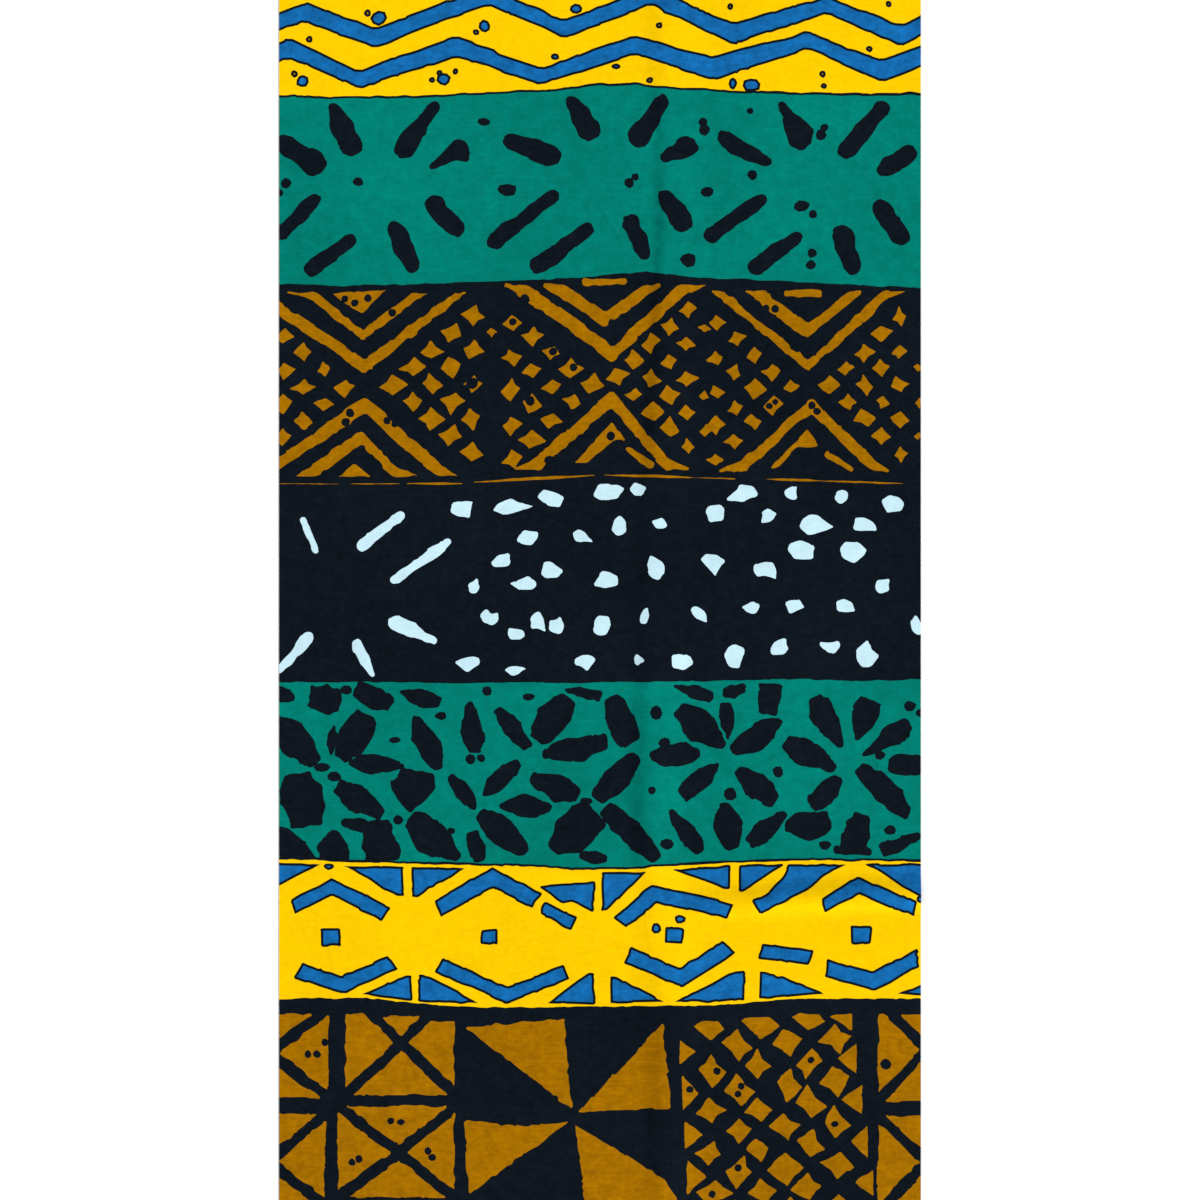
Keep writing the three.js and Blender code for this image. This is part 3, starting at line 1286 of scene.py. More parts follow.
def leaf_band() -> LeafBand:
    """Sets out the lower green band, with its rosettes of leaves.

    Returns:
        The band.
    """
    leaves = table(
        Leaf,
        (-227, -67, 20, 12, -15), (-196, -71, 23, 20, -8, 0.8, 0.8), (-161.5, -69, 29, 17, -25, 0.7, 0.5),
        (-128, -69.5, 30, 14, -14, 0.2, 0.5), (-12, -66, 26, 9, -10, 0.1, 0.8),
        (-175.5, -97.5, 38, 24, 60, 0.45, 0.6), (-190.5, -100, 22, 8, 84),
        (-217, -100.5, 44, 25, -47, 0.4, 0.4), (-123.2, -101.5, 43, 19, -66, 0.2, 0.3),
        (-91, -91, 37, 16, -84, 0.25, 0.55), (-62.5, -91.5, 36, 15, -52, 0.4, 0.55),
        (-34, -85, 40, 24, 52, 0.5, 0.6), (-18, -106, 47, 18, 12, 0.25, 0.6),
        (-159.6, -117.3, 40, 16, -3, 0.2, 0.12), (-133.5, -136, 31, 31, 80, 0.1, 0.7),
        (-70.5, -127.5, 36, 15, 42, 0.2, 0.4), (-97.6, -137, 29, 13, -50, 0.4, 0.2),
        (-212, -142.5, 39, 31, -80, 0.6, 0.65), (-171, -142.5, 40, 19, -33, 0.5, 0.4),
        (-32, -132.5, 38, 20, -22, 0.4, 0.45), (-52.7, -147, 37, 17, -2, 0.12, 0.3),
        (-118, -170, 46, 24, -40, 0.55, 0.25), (-88.5, -175.5, 22, 14, -75, 0.6, 0.6),
        (-68.5, -166, 45, 21, -40, 0.45, 0.3), (-173.5, -160, 20, 10, -12, 0.4, 0.7),
        (-157, -172, 30, 26, -80, 0.7, 0.85), (-189.5, -175, 22, 23, 82, 0.85, 0.15),
        (-220, -176, 42, 20, -32, 0.5, 0.1), (-18.5, -165, 41, 31, 40, 0.35, 0.6),
        (-5, -183, 20, 9, -8, 0.5, 0.6), (15, -85.5, 37, 22, -65, 0.55, 0.6),
        (67, -65.5, 28, 11, -16, 0.1, 0.6), (95.5, -65, 17, 10, 15, 0.7, 0.6),
        (120, -71, 22, 18, 82, 0.75, 0.85), (72, -91, 43, 23, -38, 0.45, 0.15),
        (90.5, -86, 27, 13, -86, 0.6, 0.12), (112, -97, 41, 19, 32, 0.35, 0.25),
        (53, -110.4, 37, 19, 3, 0.15, 0.3), (71.2, -128.2, 36, 17, 42, 0.6, 0.1),
        (110.5, -132, 36, 20, -40, 0.4, 0.4), (162.5, -86.5, 40, 20, -62, 0.55, 0.12),
        (187.5, -85, 31, 21, 70, 0.08, 0.7), (204, -99, 41, 15, 34, 0.1, 0.6),
        (149.6, -110.5, 41, 18, -28, 0.55, 0.35), (161, -137, 29, 18, 45, 0.6, 0.3),
        (202.5, -136, 50, 19, -43, 0.45, 0.4), (219, -117.5, 28, 16, -3, 0.6, 0.6),
        (12, -126.5, 42, 19, 48, 0.5, 0.45), (22, -166, 52, 18, -45, 0.6, 0.45),
        (61, -164.5, 38, 14, -54, 0.2, 0.45), (91, -161, 33, 20, -80, 0.3, 0.5),
        (119, -162.5, 35, 15, 40, 0.6, 0.35), (147.5, -160, 33, 21, 8, 0.3, 0.6),
        (183, -165.5, 28, 19, 74, 0.8, 0.5), (180, -178.5, 27, 8, -2, 0.5, 0.6),
        (214, -173.5, 30, 11, 20, 0.7, 0.3),
    )
    dots = table(
        Dot,
        (-181, -64, 4.2, 0.8), (-80.5, -64.8, 3.6), (-50.6, -69, 4.4, 0.6), (-113.3, -82.6, 4.2, 0.7),
        (-146, -99.7, 4.2, 0.55), (-92, -113.3, 3.6), (-84.8, -112.6, 3), (-198, -119, 5.6, 0.6),
        (-189.5, -126, 5.2, 0.7), (-10, -143.2, 4.6, 0.6), (-144, -156.7, 3.8, 0.9),
        (-106, -164.6, 3.2, 0.8), (39.9, -80.5, 4.2, 1.3), (92.6, -138, 4.8), (126.8, -122.5, 4),
        (37, -135.4, 3), (160.3, -174.5, 4.6, 0.7), (206.6, -163.9, 4.2, 0.85), (47.7, -173.8, 5, 0.8),
        (199.5, -110.4, 4, 0.8), (220.8, -75.5, 4.6, 0.8), (228, -80.5, 3), (46, -102, 4.2),
    )
    return LeafBand(CHIP_BOTTOM, LEAF_BOTTOM, Dye.GREEN, 105, dots, leaves=leaves)


def roof_band() -> RoofBand:
    """Sets out the band of blue roofs and bowls.

    Returns:
        The band.
    """
    patches = (
        ((-39, -214.5), (-15.5, -225.5), (-20.5, -235.6), (-42.2, -223.7), (-43, -218.5)),
        ((-43, -204.2), (-3.5, -199.8), (-4.8, -222.8), (-20, -214.9), (-27, -216)),
        (
            (108.2, -213.7), (114.3, -223.2), (147.5, -207), (160, -196.5), (176, -188.2), (133.8, -188.2),
            (129.5, -197), (119, -208.2),
        ),
    )
    bars = table(
        Bar,
        (11.8, ((-219.2, -219), (-190.5, -204.3), (-152, -224.2))),
        (12.4, ((-215, -263.8), (-184, -274.3), (-147.3, -258))),
        (12.8, ((-116, -220), (-76.5, -197.4), (-44.5, -214.5))),
        (10.9, ((-115, -260), (-66, -281.6), (-23.5, -265))),
        (12.2, ((14, -230.3), (38.2, -209), (64.3, -215), (93.3, -221.8))),
        (13.1, ((19.6, -252.9), (57.7, -268.8), (92.3, -246.5))),
        (11.3, ((158.5, -217.5), (183.7, -203.2), (225, -220))),
        (11.6, ((114, -250), (150.3, -254.8))),
        (12.8, ((160.7, -261.7), (195, -271.6), (227, -254.8))),
    )
    squares = table(
        Chip,
        (-191.6, -240, 14, 12.5), (-79, -240, 12, 11), (53, -239.2, 13.5, 11.5, -6),
        (186, -238.7, 14.5, 13),
    )
    top_gussets = table(
        Gusset,
        (-262, 64, 30), (-139.5, -44, 21), (-134.5, 38, 22), (1, 32, 28), (92.5, -41, 16.5),
        (99.4, 31, 18), (246, -57, 30),
    )
    bottom_gussets = table(
        Gusset,
        (-134, -36, 18), (-129.5, 45, 19), (-4, -34, 22), (7, 39, 20), (103, -51, 21), (113, 48, 20),
        (246, -37, 14),
    )
    blots = table(Dot, (39.9, -233.7, 3.6), (57, -227.3, 4, 0.8), (-193, -189.8, 4, 0.6), (228, -213, 3))
    tables = {"patches": patches, "bars": bars, "squares": squares, "blots": blots}
    gussets = {"top_gussets": top_gussets, "bottom_gussets": bottom_gussets}
    return RoofBand(LEAF_BOTTOM, ROOF_BOTTOM, Dye.YELLOW, 106, **tables, **gussets)


def block_band() -> BlockBand:
    """Sets out the band of ochre blocks.

    Returns:
        The band.
    """
    crossed = table(
        Cell,
        (-277, -193.5, -354.5, -291), (-181, -103.5, -352.5, -277), (198, 270, -357, -284),
        (-277, -196, -431, -366.5), (-186.5, -103.5, -425.5, -360.5), (198, 272, -435, -367.5),
    )
    sails = (
        ((-97.2, -304.5), (-25, -298), (-24, -318), (-20, -362.5)),
        ((-97.2, -371), (-60, -374.5), (-22.5, -371.5), (-93, -423)),
        ((-16, -365), (44.8, -301), (50, -361.8)),
        ((-18.5, -373), (46, -412), (58, -430), (-10, -430)),
    )
    dots = table(
        Dot,
        (-208, -323.4, 2.6), (-201.6, -323.4, 2.8), (-196, -315, 2.6), (-149, -371, 2.6),
        (-141.8, -371.9, 2.8, 0.8), (-176.7, -400.4, 2.8), (-171.7, -398.2, 2.8), (-122.5, -392.5, 2.8),
        (-119.7, -396.8, 2.8), (203.7, -330.5, 4), (83.4, -335.5, 2.8), (100.4, -346.2, 2.6),
        (98.3, -352, 2.4), (64, -348.4, 3, 0.8), (150.3, -327.7, 2.5), (167.4, -373.3, 2.8, 0.8),
        (98.3, -404.7, 2.8), (79.8, -423.2, 2.8),
    )
    tables = {"crossed": crossed, "sails": sails, "lattice": Cell(56, 179, -434, -298)}
    return BlockBand(ROOF_BOTTOM, BLOCK_BOTTOM, Dye.BLACK, 107, dots, **tables)


@dataclass(frozen=True)
class LaidMotif:
    """A motif at its place on the cloth, with the band and the repeat that it belongs to."""

    motif: Motif
    outline: Points
    band: Band
    shift: float


@dataclass
class WaxPrint:
    """The whole print: the bands, repeated along the cloth, and the plain selvedges."""

    width: float
    length: float
    selvedge: float = 7.0
    bands: Tuple[Band, ...] = field(init=False)
    laid: List[LaidMotif] = field(init=False)
    lines: List[Points] = field(init=False)

    def __post_init__(self) -> None:
        """Draws every band once, and lays each of its repeats that the cloth holds."""
        makers = (zigzag_band, burst_band, chevron_band, chip_band, leaf_band, roof_band, block_band)
        self.bands = tuple(make() for make in makers)
        self.laid, self.lines = [], []
        half = np.array([self.width, self.length]) / 2
        for band in self.bands:
            for motif, shift in itertools.product(band.motifs(), SHIFTS):
                outline = motif.outline + (0, shift)
                if (outline.max(axis=0) > -half).all() and (outline.min(axis=0) < half).all():
                    self.laid.append(LaidMotif(motif, outline, band, shift))
            lines = (band.bottom.line + (0, shift) for shift in SHIFTS)
            self.lines += [line for line in lines if np.abs(line[:, 1]).min() < half[1]]

    def dyes(self, points: Points) -> np.ndarray:
        """Finds the dye at each point.

        Args:
            points: The points.

        Returns:
            Each point's dye, as the number of its material.
        """
        found = np.full(len(points), Dye.BLACK.value)
        cover: Dict[Tuple[int, float], np.ndarray] = {}
        for band, shift in itertools.product(self.bands, SHIFTS):
            cover[id(band), shift] = band.covers(points, shift)
            found[cover[id(band), shift]] = band.ground.value
        for piece in self.laid:
            low, high = piece.outline.min(axis=0), piece.outline.max(axis=0)
            near = ((points >= low) & (points <= high)).all(axis=1)
            index = np.nonzero(near & cover[id(piece.band), piece.shift])[0]
            found[index[inside(points[index], piece.outline)]] = piece.motif.dye.value
        found[np.abs(points[:, 1]) > self.length / 2 - self.selvedge] = Dye.BLACK.value
        return found


# ---- The cloth ----


class Crest(NamedTuple):
    """A point of a fold's crest, with how far the cloth takes to fall away before it and after it."""

    along: float
    crest: float
    height: float
    before: float
    after: float


@dataclass(frozen=True)
class Fold:
    """A soft ridge left by folding."""

    rows: Tuple[Crest, ...]

    def rise(self, along: np.ndarray, across: np.ndarray) -> np.ndarray:
        """How far the fold lifts the cloth.

        Args:
            along: The points' places along the fold.
            across: The points' places across it.

        Returns:
            The lift at each point.
        """
        rows = np.array(self.rows)
        nexts = np.clip(np.searchsorted(rows[:, 0], along), 1, len(rows) - 1)
        start, end = rows[nexts - 1], rows[nexts]
        share = np.clip((along - start[:, 0]) / (end[:, 0] - start[:, 0]), 0, 1)
        share = share * share * (3 - 2 * share)
        _, crest, height, before, after = (start + (end - start) * share[:, None]).T
        off = across - crest
        reach = np.minimum(1, np.abs(off) / np.where(off < 0, before, after))
        return height * (1 + np.cos(math.pi * reach)) / 2


@dataclass(frozen=True)
class Wrinkle:
    """A short soft ridge from one point to another."""

    start: Pair
    end: Pair
    height: float
    half_width: float

    def rise(self, x: np.ndarray, y: np.ndarray) -> np.ndarray:
        """How far the wrinkle lifts the cloth.

        Args:
            x: The points' places.
            y: The points' places.

        Returns:
            The lift at each point.
        """
        run = np.subtract(self.end, self.start)
        length = float(np.linalg.norm(run))
        ahead = run / length
        off_x, off_y = x - self.start[0], y - self.start[1]
        along = np.clip((off_x * ahead[0] + off_y * ahead[1]) / length, 0, 1)
        across = np.clip(np.abs(off_y * ahead[0] - off_x * ahead[1]) / self.half_width, 0, 1)
        return self.height * np.sin(math.pi * along) ** 2 * (1 + np.cos(math.pi * across)) / 2

    def guides(self, step: float = 2.2, narrow: float = 5.0) -> List[Points]:
        """Draws lines that the mesh follows along a wrinkle too narrow for its grid.

        Args:
            step: How far apart a line's points are.
            narrow: The half width from which the grid is fine enough.

        Returns:
            The lines, side by side, or none.
        """
        if self.half_width >= narrow:
            return []
        run = np.subtract(self.end, self.start)
        length = float(np.linalg.norm(run))
        side = np.array([-run[1], run[0]]) / length * self.half_width
        line = self.start + run * np.linspace(0, 1, math.ceil(length / step))[:, None]
        return [line + side * share for share in (-1, -0.5, 0, 0.5, 1)]


@dataclass(frozen=True)
class ClothForm:
    """The form that the cloth lies in."""

    width: float = 457.0
    length: float = 1143.0
    thickness: float = 0.4
    press_fold: Fold = Fold(
        table(
            Crest,
            (-571.5, 41, 1.6, 18, 24), (-427, 47, 2.3, 20, 28), (-330, 48, 2.2, 19, 28),
            (-245, 45, 1.2, 25, 32), (-205, 40, 1.4, 14, 26), (-180, 35, 2.7, 16, 28),
            (-130, 35, 3.3, 18, 30), (-60, 36, 2.5, 17, 30), (-15, 37, 1.3, 17, 30), (60, 38, 1.2, 16, 30),
            (95, 41, 2.1, 14, 30), (205, 44, 2.0, 11, 34), (260, 46.5, 1.8, 9, 38), (340, 46, 1.6, 9, 38),
            (375, 46.5, 1.3, 17, 36), (450, 44, 1.3, 17, 36), (571.5, 38, 1.6, 14, 30),
        )
    )
    cross_folds: Tuple[Fold, ...] = (
        Fold(
            table(
                Crest,
                (48, -220, 0, 14, 14), (80, -218, 1.1, 14, 15), (135, -213.5, 2.3, 14, 17),
                (228.5, -210, 2.7, 14, 17),
            )
        ),
        Fold(table(Crest, (-228.5, -497, 1.9, 16, 16), (-90, -501, 1.5, 16, 16), (20, -506, 0, 16, 16))),
        Fold(
            table(
                Crest,
                (-150, 512, 0, 16, 16), (10, 508, 1.2, 16, 16), (130, 503, 2.0, 16, 16),
                (228.5, 501, 2.2, 16, 16),
            )
        ),
    )
    wrinkles: Tuple[Wrinkle, ...] = table(
        Wrinkle,
        ((-85, -184), (10, -200), 1.0, 12), ((-120, -257), (-65, -281), 0.9, 9),
        ((-225, -140), (-155, -176), 1.2, 14), ((-155, -132), (-112, -184), 1.2, 14),
        ((-7, 292), (23.5, 243.5), 0.85, 2.6), ((-180, 500), (-120, 475), 1.0, 11),
        ((60, -470), (150, -490), 1.1, 13),
    )
    swell: float = 0.3  # half the height of the slow waves that the whole cloth lies in
    waves: Pair = (41.0, 53.0)  # the waves' lengths over 2 pi, across and along the cloth
    bends: Pair = (97.0, 71.0)  # the same of the bends in their crests
    settled: float = 30.0  # how far in from the sides the waves reach their height

    @property
    def half(self) -> np.ndarray:
        """Half its width and half its length."""
        return np.array([self.width, self.length]) / 2

    def rise(self, x: np.ndarray, y: np.ndarray) -> np.ndarray:
        """Finds the height of the cloth's underside over the floor.

        Args:
            x: The points' places.
            y: The points' places.

        Returns:
            The height at each point.
        """
        folds = [self.press_fold.rise(y, x), *(fold.rise(x, y) for fold in self.cross_folds)]
        across = np.sin(x / self.waves[0] + 1.3 * np.sin(y / self.bends[0]))
        along = np.cos(y / self.waves[1] + 0.9 * np.sin(x / self.bends[1]))
        inset = np.minimum(self.half[0] - np.abs(x), self.half[1] - np.abs(y))
        slow = self.swell * (1 + across * along) * np.clip(inset / self.settled, 0, 1) ** 2
        return np.max(folds, axis=0) + sum(wrinkle.rise(x, y) for wrinkle in self.wrinkles) + slow

    def normals(self, x: np.ndarray, y: np.ndarray, step: float = 0.4) -> np.ndarray:
        """Directions square to the cloth's face.

        Args:
            x: The points' places.
            y: The points' places.
            step: How far apart the slope is measured.

        Returns:
            A unit arrow for each point.
        """
        slope_x = (self.rise(x + step, y) - self.rise(x - step, y)) / (2 * step)
        slope_y = (self.rise(x, y + step) - self.rise(x, y - step)) / (2 * step)
        arrows = np.column_stack((-slope_x, -slope_y, np.ones(len(x))))
        return arrows / np.linalg.norm(arrows, axis=1, keepdims=True)


@dataclass
class PrintedCloth:
    """The cloth's mesh: a thin closed wall, divided along the edges of the print."""

    form: ClothForm
    design: WaxPrint
    grid_step: float = 11.0
    fold_step: float = 5.5  # the grid's step near a fold
    press_reach: float = 36.0  # how near the press fold that is
    cross_reach: float = 20.0  # and a cross fold
    side_step: float = 6.0
    selvedge_points: int = 60
    clear: float = 1.6  # how far the grid stays from the drawn points
    merge: float = 0.02  # points nearer than this become one
    bake_face: float = 0.4  # width on the bake map of the face's colours, and of its black
    bake_back: float = 0.2  # and the same for the underside
    flat: Points = field(init=False)
    triangles: np.ndarray = field(init=False)
    dyes: np.ndarray = field(init=False)

    def __post_init__(self) -> None:
        """Divides the flat cloth and finds each triangle's dye."""
        half = self.form.half
        lines = [(piece.outline, True) for piece in self.design.laid]
        lines += [(line, False) for line in self.design.lines]
        lines += [(line, False) for wrinkle in self.form.wrinkles for line in wrinkle.guides()]
        x = np.linspace(-half[0] - 1, half[0] + 1, self.selvedge_points)
        level = half[1] - self.design.selvedge
        lines += [(np.column_stack((x, np.full(len(x), y))), False) for y in (-level, level)]
        corners = np.array([(-1, -1), (1, -1), (1, 1), (-1, 1)]) * half
        lines.append((divided(corners, self.side_step), True))
        edges, start = [], 0
        for line, closed in lines:
            count = len(line)
            edges += [(start + i, start + (i + 1) % count) for i in range(count if closed else count - 1)]
            start += count
        drawn = np.concatenate([line for line, _ in lines])
        everything = [Vector(p) for p in np.vstack((drawn, self.grid_points(drawn)))]
        verts, _, faces, *_ = delaunay_2d_cdt(everything, edges, [], 0, self.merge, False)
        flat, triangles = np.array(verts, float), np.array(faces, int)
        middles = flat[triangles].mean(axis=1)
        kept = (np.abs(middles) < half).all(axis=1)
        self.triangles, middles = triangles[kept], middles[kept]
        self.dyes = self.design.dyes(middles)
        used, self.triangles = np.unique(self.triangles, return_inverse=True)
        self.triangles, self.flat = self.triangles.reshape(-1, 3), flat[used]

    def grid_points(self, drawn: Points) -> Points:
        """Lays a staggered grid, finer at the folds, and keeps it clear of the drawn points.

        Args:
            drawn: The points of all the outlines.

        Returns:
            The grid's points.
        """
        tree = KDTree(len(drawn))
        for index, (x, y) in enumerate(drawn):
            tree.insert((x, y, 0), index)
        tree.balance()
        half_width, half_length = self.form.half
        crest = self.form.press_fold.rows[0].crest
        found = []
        for step, fine in ((self.grid_step, False), (self.fold_step, True)):
            for row, y in enumerate(np.arange(-half_length + step, half_length - step / 2, step)):
                shift = step / 2 * (row % 2)
                folds = self.form.cross_folds
                crossed = any(abs(y - fold.rows[-1].crest) < self.cross_reach for fold in folds)
                for x in np.arange(-half_width + step + shift, half_width - step / 2, step):
                    on_fold = crossed or abs(x - crest) < self.press_reach
                    if on_fold == fine and tree.find((x, y, 0))[2] > self.clear:
                        found.append((x, y))
        return np.array(found)

    def rim(self) -> Tuple[np.ndarray, np.ndarray]:
        """Finds the sides of the triangles that lie on the cloth's edge.

        Returns:
            The edge's sides as pairs of points, and the triangle that each belongs to.
        """
        sides = np.concatenate([self.triangles[:, [a, b]] for a, b in ((0, 1), (1, 2), (2, 0))])
        owners = np.tile(np.arange(len(self.triangles)), 3)
        pairs = np.sort(sides, axis=1)
        _, inverse, counts = np.unique(pairs, axis=0, return_inverse=True, return_counts=True)
        single = counts[inverse.ravel()] == 1
        return sides[single], owners[single]

    def bake_places(self, faces: List[Tuple[int, ...]], dyes: np.ndarray, back: np.ndarray) -> np.ndarray:
        """Lays the faces out for baking: black apart from the dyes that it borders on, face from back.

        Args:
            faces: The mesh's faces.
            dyes: Each face's dye.
            back: True for each face of the underside.

        Returns:
            A place on the map for each corner of each face.
        """
        places = []
        for face, dye, behind in zip(faces, dyes, back):
            spot = self.flat[np.array(face) % len(self.flat)] / (2 * self.form.half) + 0.5
            black = dye == Dye.BLACK.value
            if behind:
                spot = spot * (self.bake_back, 0.5) + (2 * self.bake_face, 0.5 * black)
            else:
                spot = spot * (self.bake_face, 1.0) + (self.bake_face * black, 0.0)
            places.append(spot)
        return np.concatenate(places)

    def build(self, materials: List[Material]) -> Object:
        """Builds the mesh.

        Args:
            materials: The dyes' materials, in the dyes' order.

        Returns:
            The cloth's object.
        """
        x, y = self.flat.T
        low = self.form.rise(x, y)
        points = [np.column_stack((x, y, level)) for level in (low + self.form.thickness, low)]
        count = len(x)
        sides, owners = self.rim()
        faces = [tuple(t) for t in self.triangles.tolist()]
        faces += [(c + count, b + count, a + count) for a, b, c in self.triangles.tolist()]
        faces += [(a, a + count, b + count, b) for a, b in sides.tolist()]
        dyes = np.concatenate((self.dyes, self.dyes, self.dyes[owners]))
        mesh = bpy.data.meshes.new("cloth_print")
        mesh.from_pydata((np.vstack(points) * MM).tolist(), [], faces)
        for material in materials:
            mesh.materials.append(material)
        mesh.polygons.foreach_set("material_index", dyes.astype(np.int32))
        mesh.polygons.foreach_set("use_smooth", np.ones(len(faces), bool))
        total = len(self.triangles)
        back = np.arange(len(faces)) >= total
        back[2 * total :] = False
        layer = mesh.uv_layers.new(name="OFBake")
        layer.data.foreach_set("uv", self.bake_places(faces, dyes, back).ravel())
        square = self.form.normals(x, y)
        arrows = [square[self.triangles.ravel()], -square[self.triangles[:, ::-1].ravel()]]
        runs = self.flat[sides[:, 1]] - self.flat[sides[:, 0]]
        out = np.column_stack((runs[:, 1], -runs[:, 0], np.zeros(len(runs)))) / lengths(runs)
        arrows.append(np.repeat(out, 4, axis=0))
        mesh.normals_split_custom_set(np.concatenate(arrows).tolist())
        return placed("printed_cotton_cloth", mesh)


@dataclass(frozen=True)
class CutEnds:
    """The ends of the weft on the two cut sides, standing out by less than half a millimetre."""

    spacing: float = 0.0016
    length: float = 0.0006
    radius: float = 0.00011
    buried: float = 0.0002  # how far inside the cloth's side they start
    stray: Tuple[float, float, float] = (0.4, 0.35, 0.6)  # how far each may turn, in radians
    smallest: Tuple[float, float, float] = (0.7, 0.7, 0.3)  # the least end's share of the full size
    largest: Tuple[float, float, float] = (1.1, 1.1, 1.0)
    corner_gap: float = 1.0  # how far from a corner, in millimetres, they stop
    line_points: int = 300
    color_inset: float = 0.5  # how far in from the side, in millimetres, an end's dye is read
    seed: int = 7

    def edge_line(self, form: ClothForm, side: int) -> Object:
        """Draws a line just inside one cut side, halfway up the cloth's wall.

        Args:
            form: The form that the cloth lies in.
            side: 1 for the right side, -1 for the left.

        Returns:
            An object that holds the line as edges.
        """
        half_width, half_length = form.half
        y = np.linspace(self.corner_gap - half_length, half_length - self.corner_gap, self.line_points)
        x = np.full(len(y), side * half_width)
        points = np.column_stack((x, y, form.rise(x, y) + form.thickness / 2)) * MM
        points[:, 0] -= side * self.buried
        mesh = bpy.data.meshes.new("cut_side")
        mesh.from_pydata(points.tolist(), [(i, i + 1) for i in range(len(y) - 1)], [])
        return placed("cut_side", mesh)

    def tree(self) -> bpy.types.NodeTree:
        """Builds the nodes that set one thread's end after another along a line.

        Returns:
            The Geometry Nodes tree.
        """
        tree = bpy.data.node_groups.new("cut_ends", "GeometryNodeTree")
        sizes = {"Spacing": self.spacing, "Length": self.length, "Radius": self.radius, "Turn": math.pi / 2}
        kinds = {"Line": "Geometry", **dict.fromkeys(sizes, "Float"), "Thread": "Material"}
        for name, kind in kinds.items():
            socket = tree.interface.new_socket(name, in_out="INPUT", socket_type=f"NodeSocket{kind}")
            if name in sizes:
                socket.default_value = sizes[name]
        tree.interface.new_socket("Ends", in_out="OUTPUT", socket_type="NodeSocketGeometry")
        bench = NodeBench(tree)
        given = bench.put("NodeGroupInput", {}).outputs
        curve = bench.put("GeometryNodeMeshToCurve", {"Mesh": given["Line"]}).outputs[0]
        inputs = {"Curve": curve, "Length": given["Spacing"]}
        spaced = bench.put("GeometryNodeResampleCurve", inputs, mode="LENGTH").outputs[0]
        tip = bench.math("MULTIPLY", given["Radius"], 0.5)
        inputs = {"Vertices": 4, "Radius Bottom": given["Radius"], "Radius Top": tip}
        inputs["Depth"] = given["Length"]
        end = bench.put("GeometryNodeMeshCone", inputs).outputs["Mesh"]
        turn = bench.put("ShaderNodeCombineXYZ", {1: given["Turn"]}).outputs[0]
        inputs = {0: [-most for most in self.stray], 1: self.stray, "Seed": self.seed}
        stray = bench.put("FunctionNodeRandomValue", inputs, data_type="FLOAT_VECTOR").outputs[0]
        turned_by = bench.put("ShaderNodeVectorMath", {0: turn, 1: stray}, operation="ADD").outputs[0]
        inputs = {0: self.smallest, 1: self.largest, "Seed": self.seed + 1}
        size = bench.put("FunctionNodeRandomValue", inputs, data_type="FLOAT_VECTOR").outputs[0]
        inputs = {"Points": spaced, "Instance": end, "Rotation": turned_by, "Scale": size}
        ends = bench.put("GeometryNodeInstanceOnPoints", inputs).outputs[0]
        real = bench.put("GeometryNodeRealizeInstances", {0: ends}).outputs[0]
        inputs = {"Geometry": real, "Material": given["Thread"]}
        dressed = bench.put("GeometryNodeSetMaterial", inputs).outputs[0]
        bench.put("NodeGroupOutput", {0: dressed})
        return tree

    def build(self, cloth: PrintedCloth, materials: List[Material]) -> Object:
        """Builds the thread ends of both cut sides, each in the dye of the print beside it.

        Args:
            cloth: The printed cloth.
            materials: The dyes' materials, in the dyes' order.

        Returns:
            One object with all the ends.
        """
        tree = self.tree()
        named = {item.name: item.identifier for item in tree.interface.items_tree if item.in_out == "INPUT"}
        meshes = []
        for side in (-1, 1):
            line = self.edge_line(cloth.form, side)
            modifier = line.modifiers.new("ends", "NODES")
            modifier.node_group = tree
            modifier[named["Turn"]] = side * math.pi / 2
            modifier[named["Thread"]] = materials[0]
            evaluated = line.evaluated_get(bpy.context.evaluated_depsgraph_get())
            meshes.append(bpy.data.meshes.new_from_object(evaluated))
            bpy.data.objects.remove(line)
        points, faces = [], []
        for mesh in meshes:
            faces += [tuple(v + len(points) for v in face.vertices) for face in mesh.polygons]
            points += [tuple(vert.co) for vert in mesh.vertices]
        joined = bpy.data.meshes.new("cut_ends")
        joined.from_pydata(points, [], faces)
        for material in materials:
            joined.materials.append(material)
        middles = np.array([face.center[:2] for face in joined.polygons]) / MM
        middles[:, 0] = np.sign(middles[:, 0]) * (cloth.form.width / 2 - self.color_inset)
        joined.polygons.foreach_set("material_index", cloth.design.dyes(middles).astype(np.int32))
        return placed("cut_side_thread_ends", joined)


# ---- The studio ----


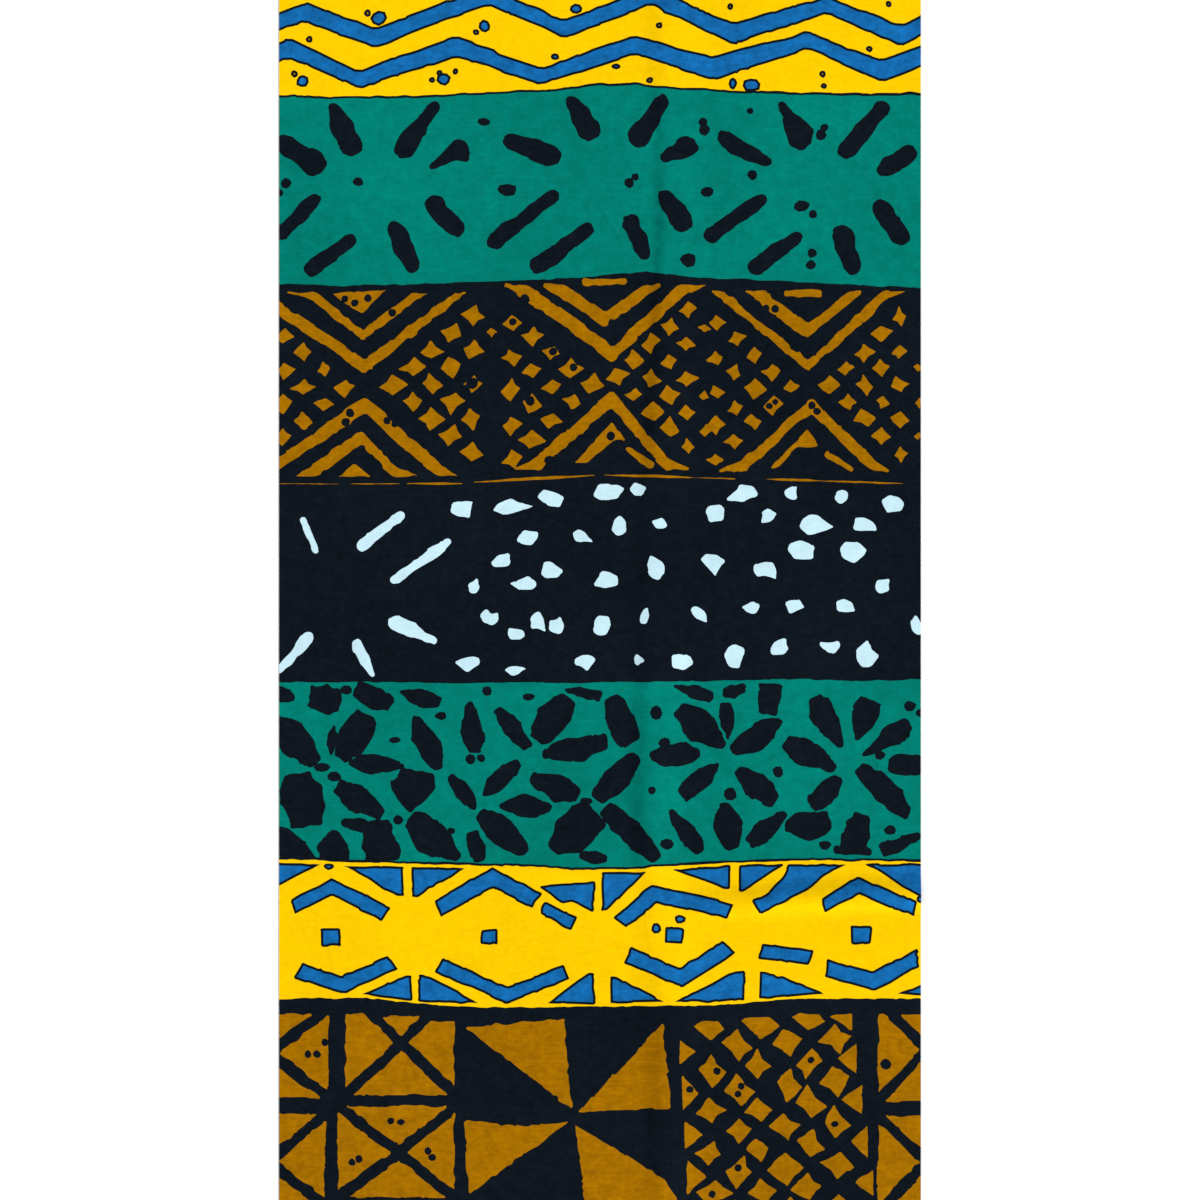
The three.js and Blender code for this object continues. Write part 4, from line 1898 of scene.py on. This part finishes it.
@dataclass(frozen=True)
class Studio:
    """A pale floor, an even pale sky, one low soft light that rakes the folds, and the camera."""

    floor_size: float = 30.0
    floor_color: Tuple[float, float, float] = (0.975, 0.975, 0.975)
    floor_roughness: float = 0.9
    floor_specular: float = 0.1
    sky: float = 0.57
    key: float = 4.3
    key_height: float = 20.0  # degrees over the floor
    key_side: float = -45.0  # degrees from +X towards +Y
    key_softness: float = 12.0
    frame_height: float = 0.8549  # metres of cloth from the bottom of the frame to its top
    camera_height: float = 2.2
    sensor: float = 36.0

    def floor(self) -> Object:
        """Makes the floor that the cloth lies on.

        Returns:
            The floor's object.
        """
        half = self.floor_size / 2
        mesh = bpy.data.meshes.new("floor")
        corners = [(-half, -half, 0), (half, -half, 0), (half, half, 0), (-half, half, 0)]
        mesh.from_pydata(corners, [], [(0, 1, 2, 3)])
        material = bpy.data.materials.new("pale_floor")
        material.use_nodes = True
        inputs = material.node_tree.nodes["Principled BSDF"].inputs
        inputs["Base Color"].default_value = (*self.floor_color, 1)
        inputs["Roughness"].default_value = self.floor_roughness
        inputs["Specular IOR Level"].default_value = self.floor_specular
        mesh.materials.append(material)
        return placed("floor", mesh)

    def light(self) -> None:
        """Sets the sky and the raking light."""
        world = bpy.data.worlds.new("sky")
        world.use_nodes = True
        background = world.node_tree.nodes["Background"]
        background.inputs["Color"].default_value = (1, 1, 1, 1)
        background.inputs["Strength"].default_value = self.sky
        bpy.context.scene.world = world
        sun = bpy.data.lights.new("raking_light", "SUN")
        sun.energy = self.key
        sun.angle = math.radians(self.key_softness)
        tilt, side = math.radians(90 - self.key_height), math.radians(self.key_side + 90)
        placed("raking_light", sun).rotation_euler = Euler((tilt, 0, side))

    def camera(self) -> None:
        """Sets the camera straight above the middle of the cloth."""
        lens = bpy.data.cameras.new("camera")
        lens.sensor_width = self.sensor
        lens.lens = self.sensor * self.camera_height / self.frame_height
        camera = placed("camera", lens)
        camera.location = (0, 0, self.camera_height)
        bpy.context.scene.camera = camera
        bpy.context.scene.view_settings.view_transform = "Standard"


def main() -> None:
    """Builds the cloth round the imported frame, dresses it and sets the studio."""
    logging.basicConfig(level=logging.INFO, format="%(name)s: %(message)s")
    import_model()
    studio = Studio()
    studio.camera()
    studio.light()
    studio.floor()

    form = ClothForm()
    design = WaxPrint(form.width, form.length)
    log.info("print: %d motifs in %d bands", len(design.laid), len(design.bands))
    weave = Weave()
    materials = [FINISHES[dye].material(weave) for dye in Dye]
    printed = PrintedCloth(form, design)
    cloth = printed.build(materials)
    log.info("%s: %d faces", cloth.name, len(cloth.data.polygons))
    ends = CutEnds().build(printed, materials)
    log.info("%s: %d faces", ends.name, len(ends.data.polygons))

    for piece in (cloth, ends):
        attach(piece, "root")
    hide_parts("cloth")


if __name__ == "__main__":
    main()
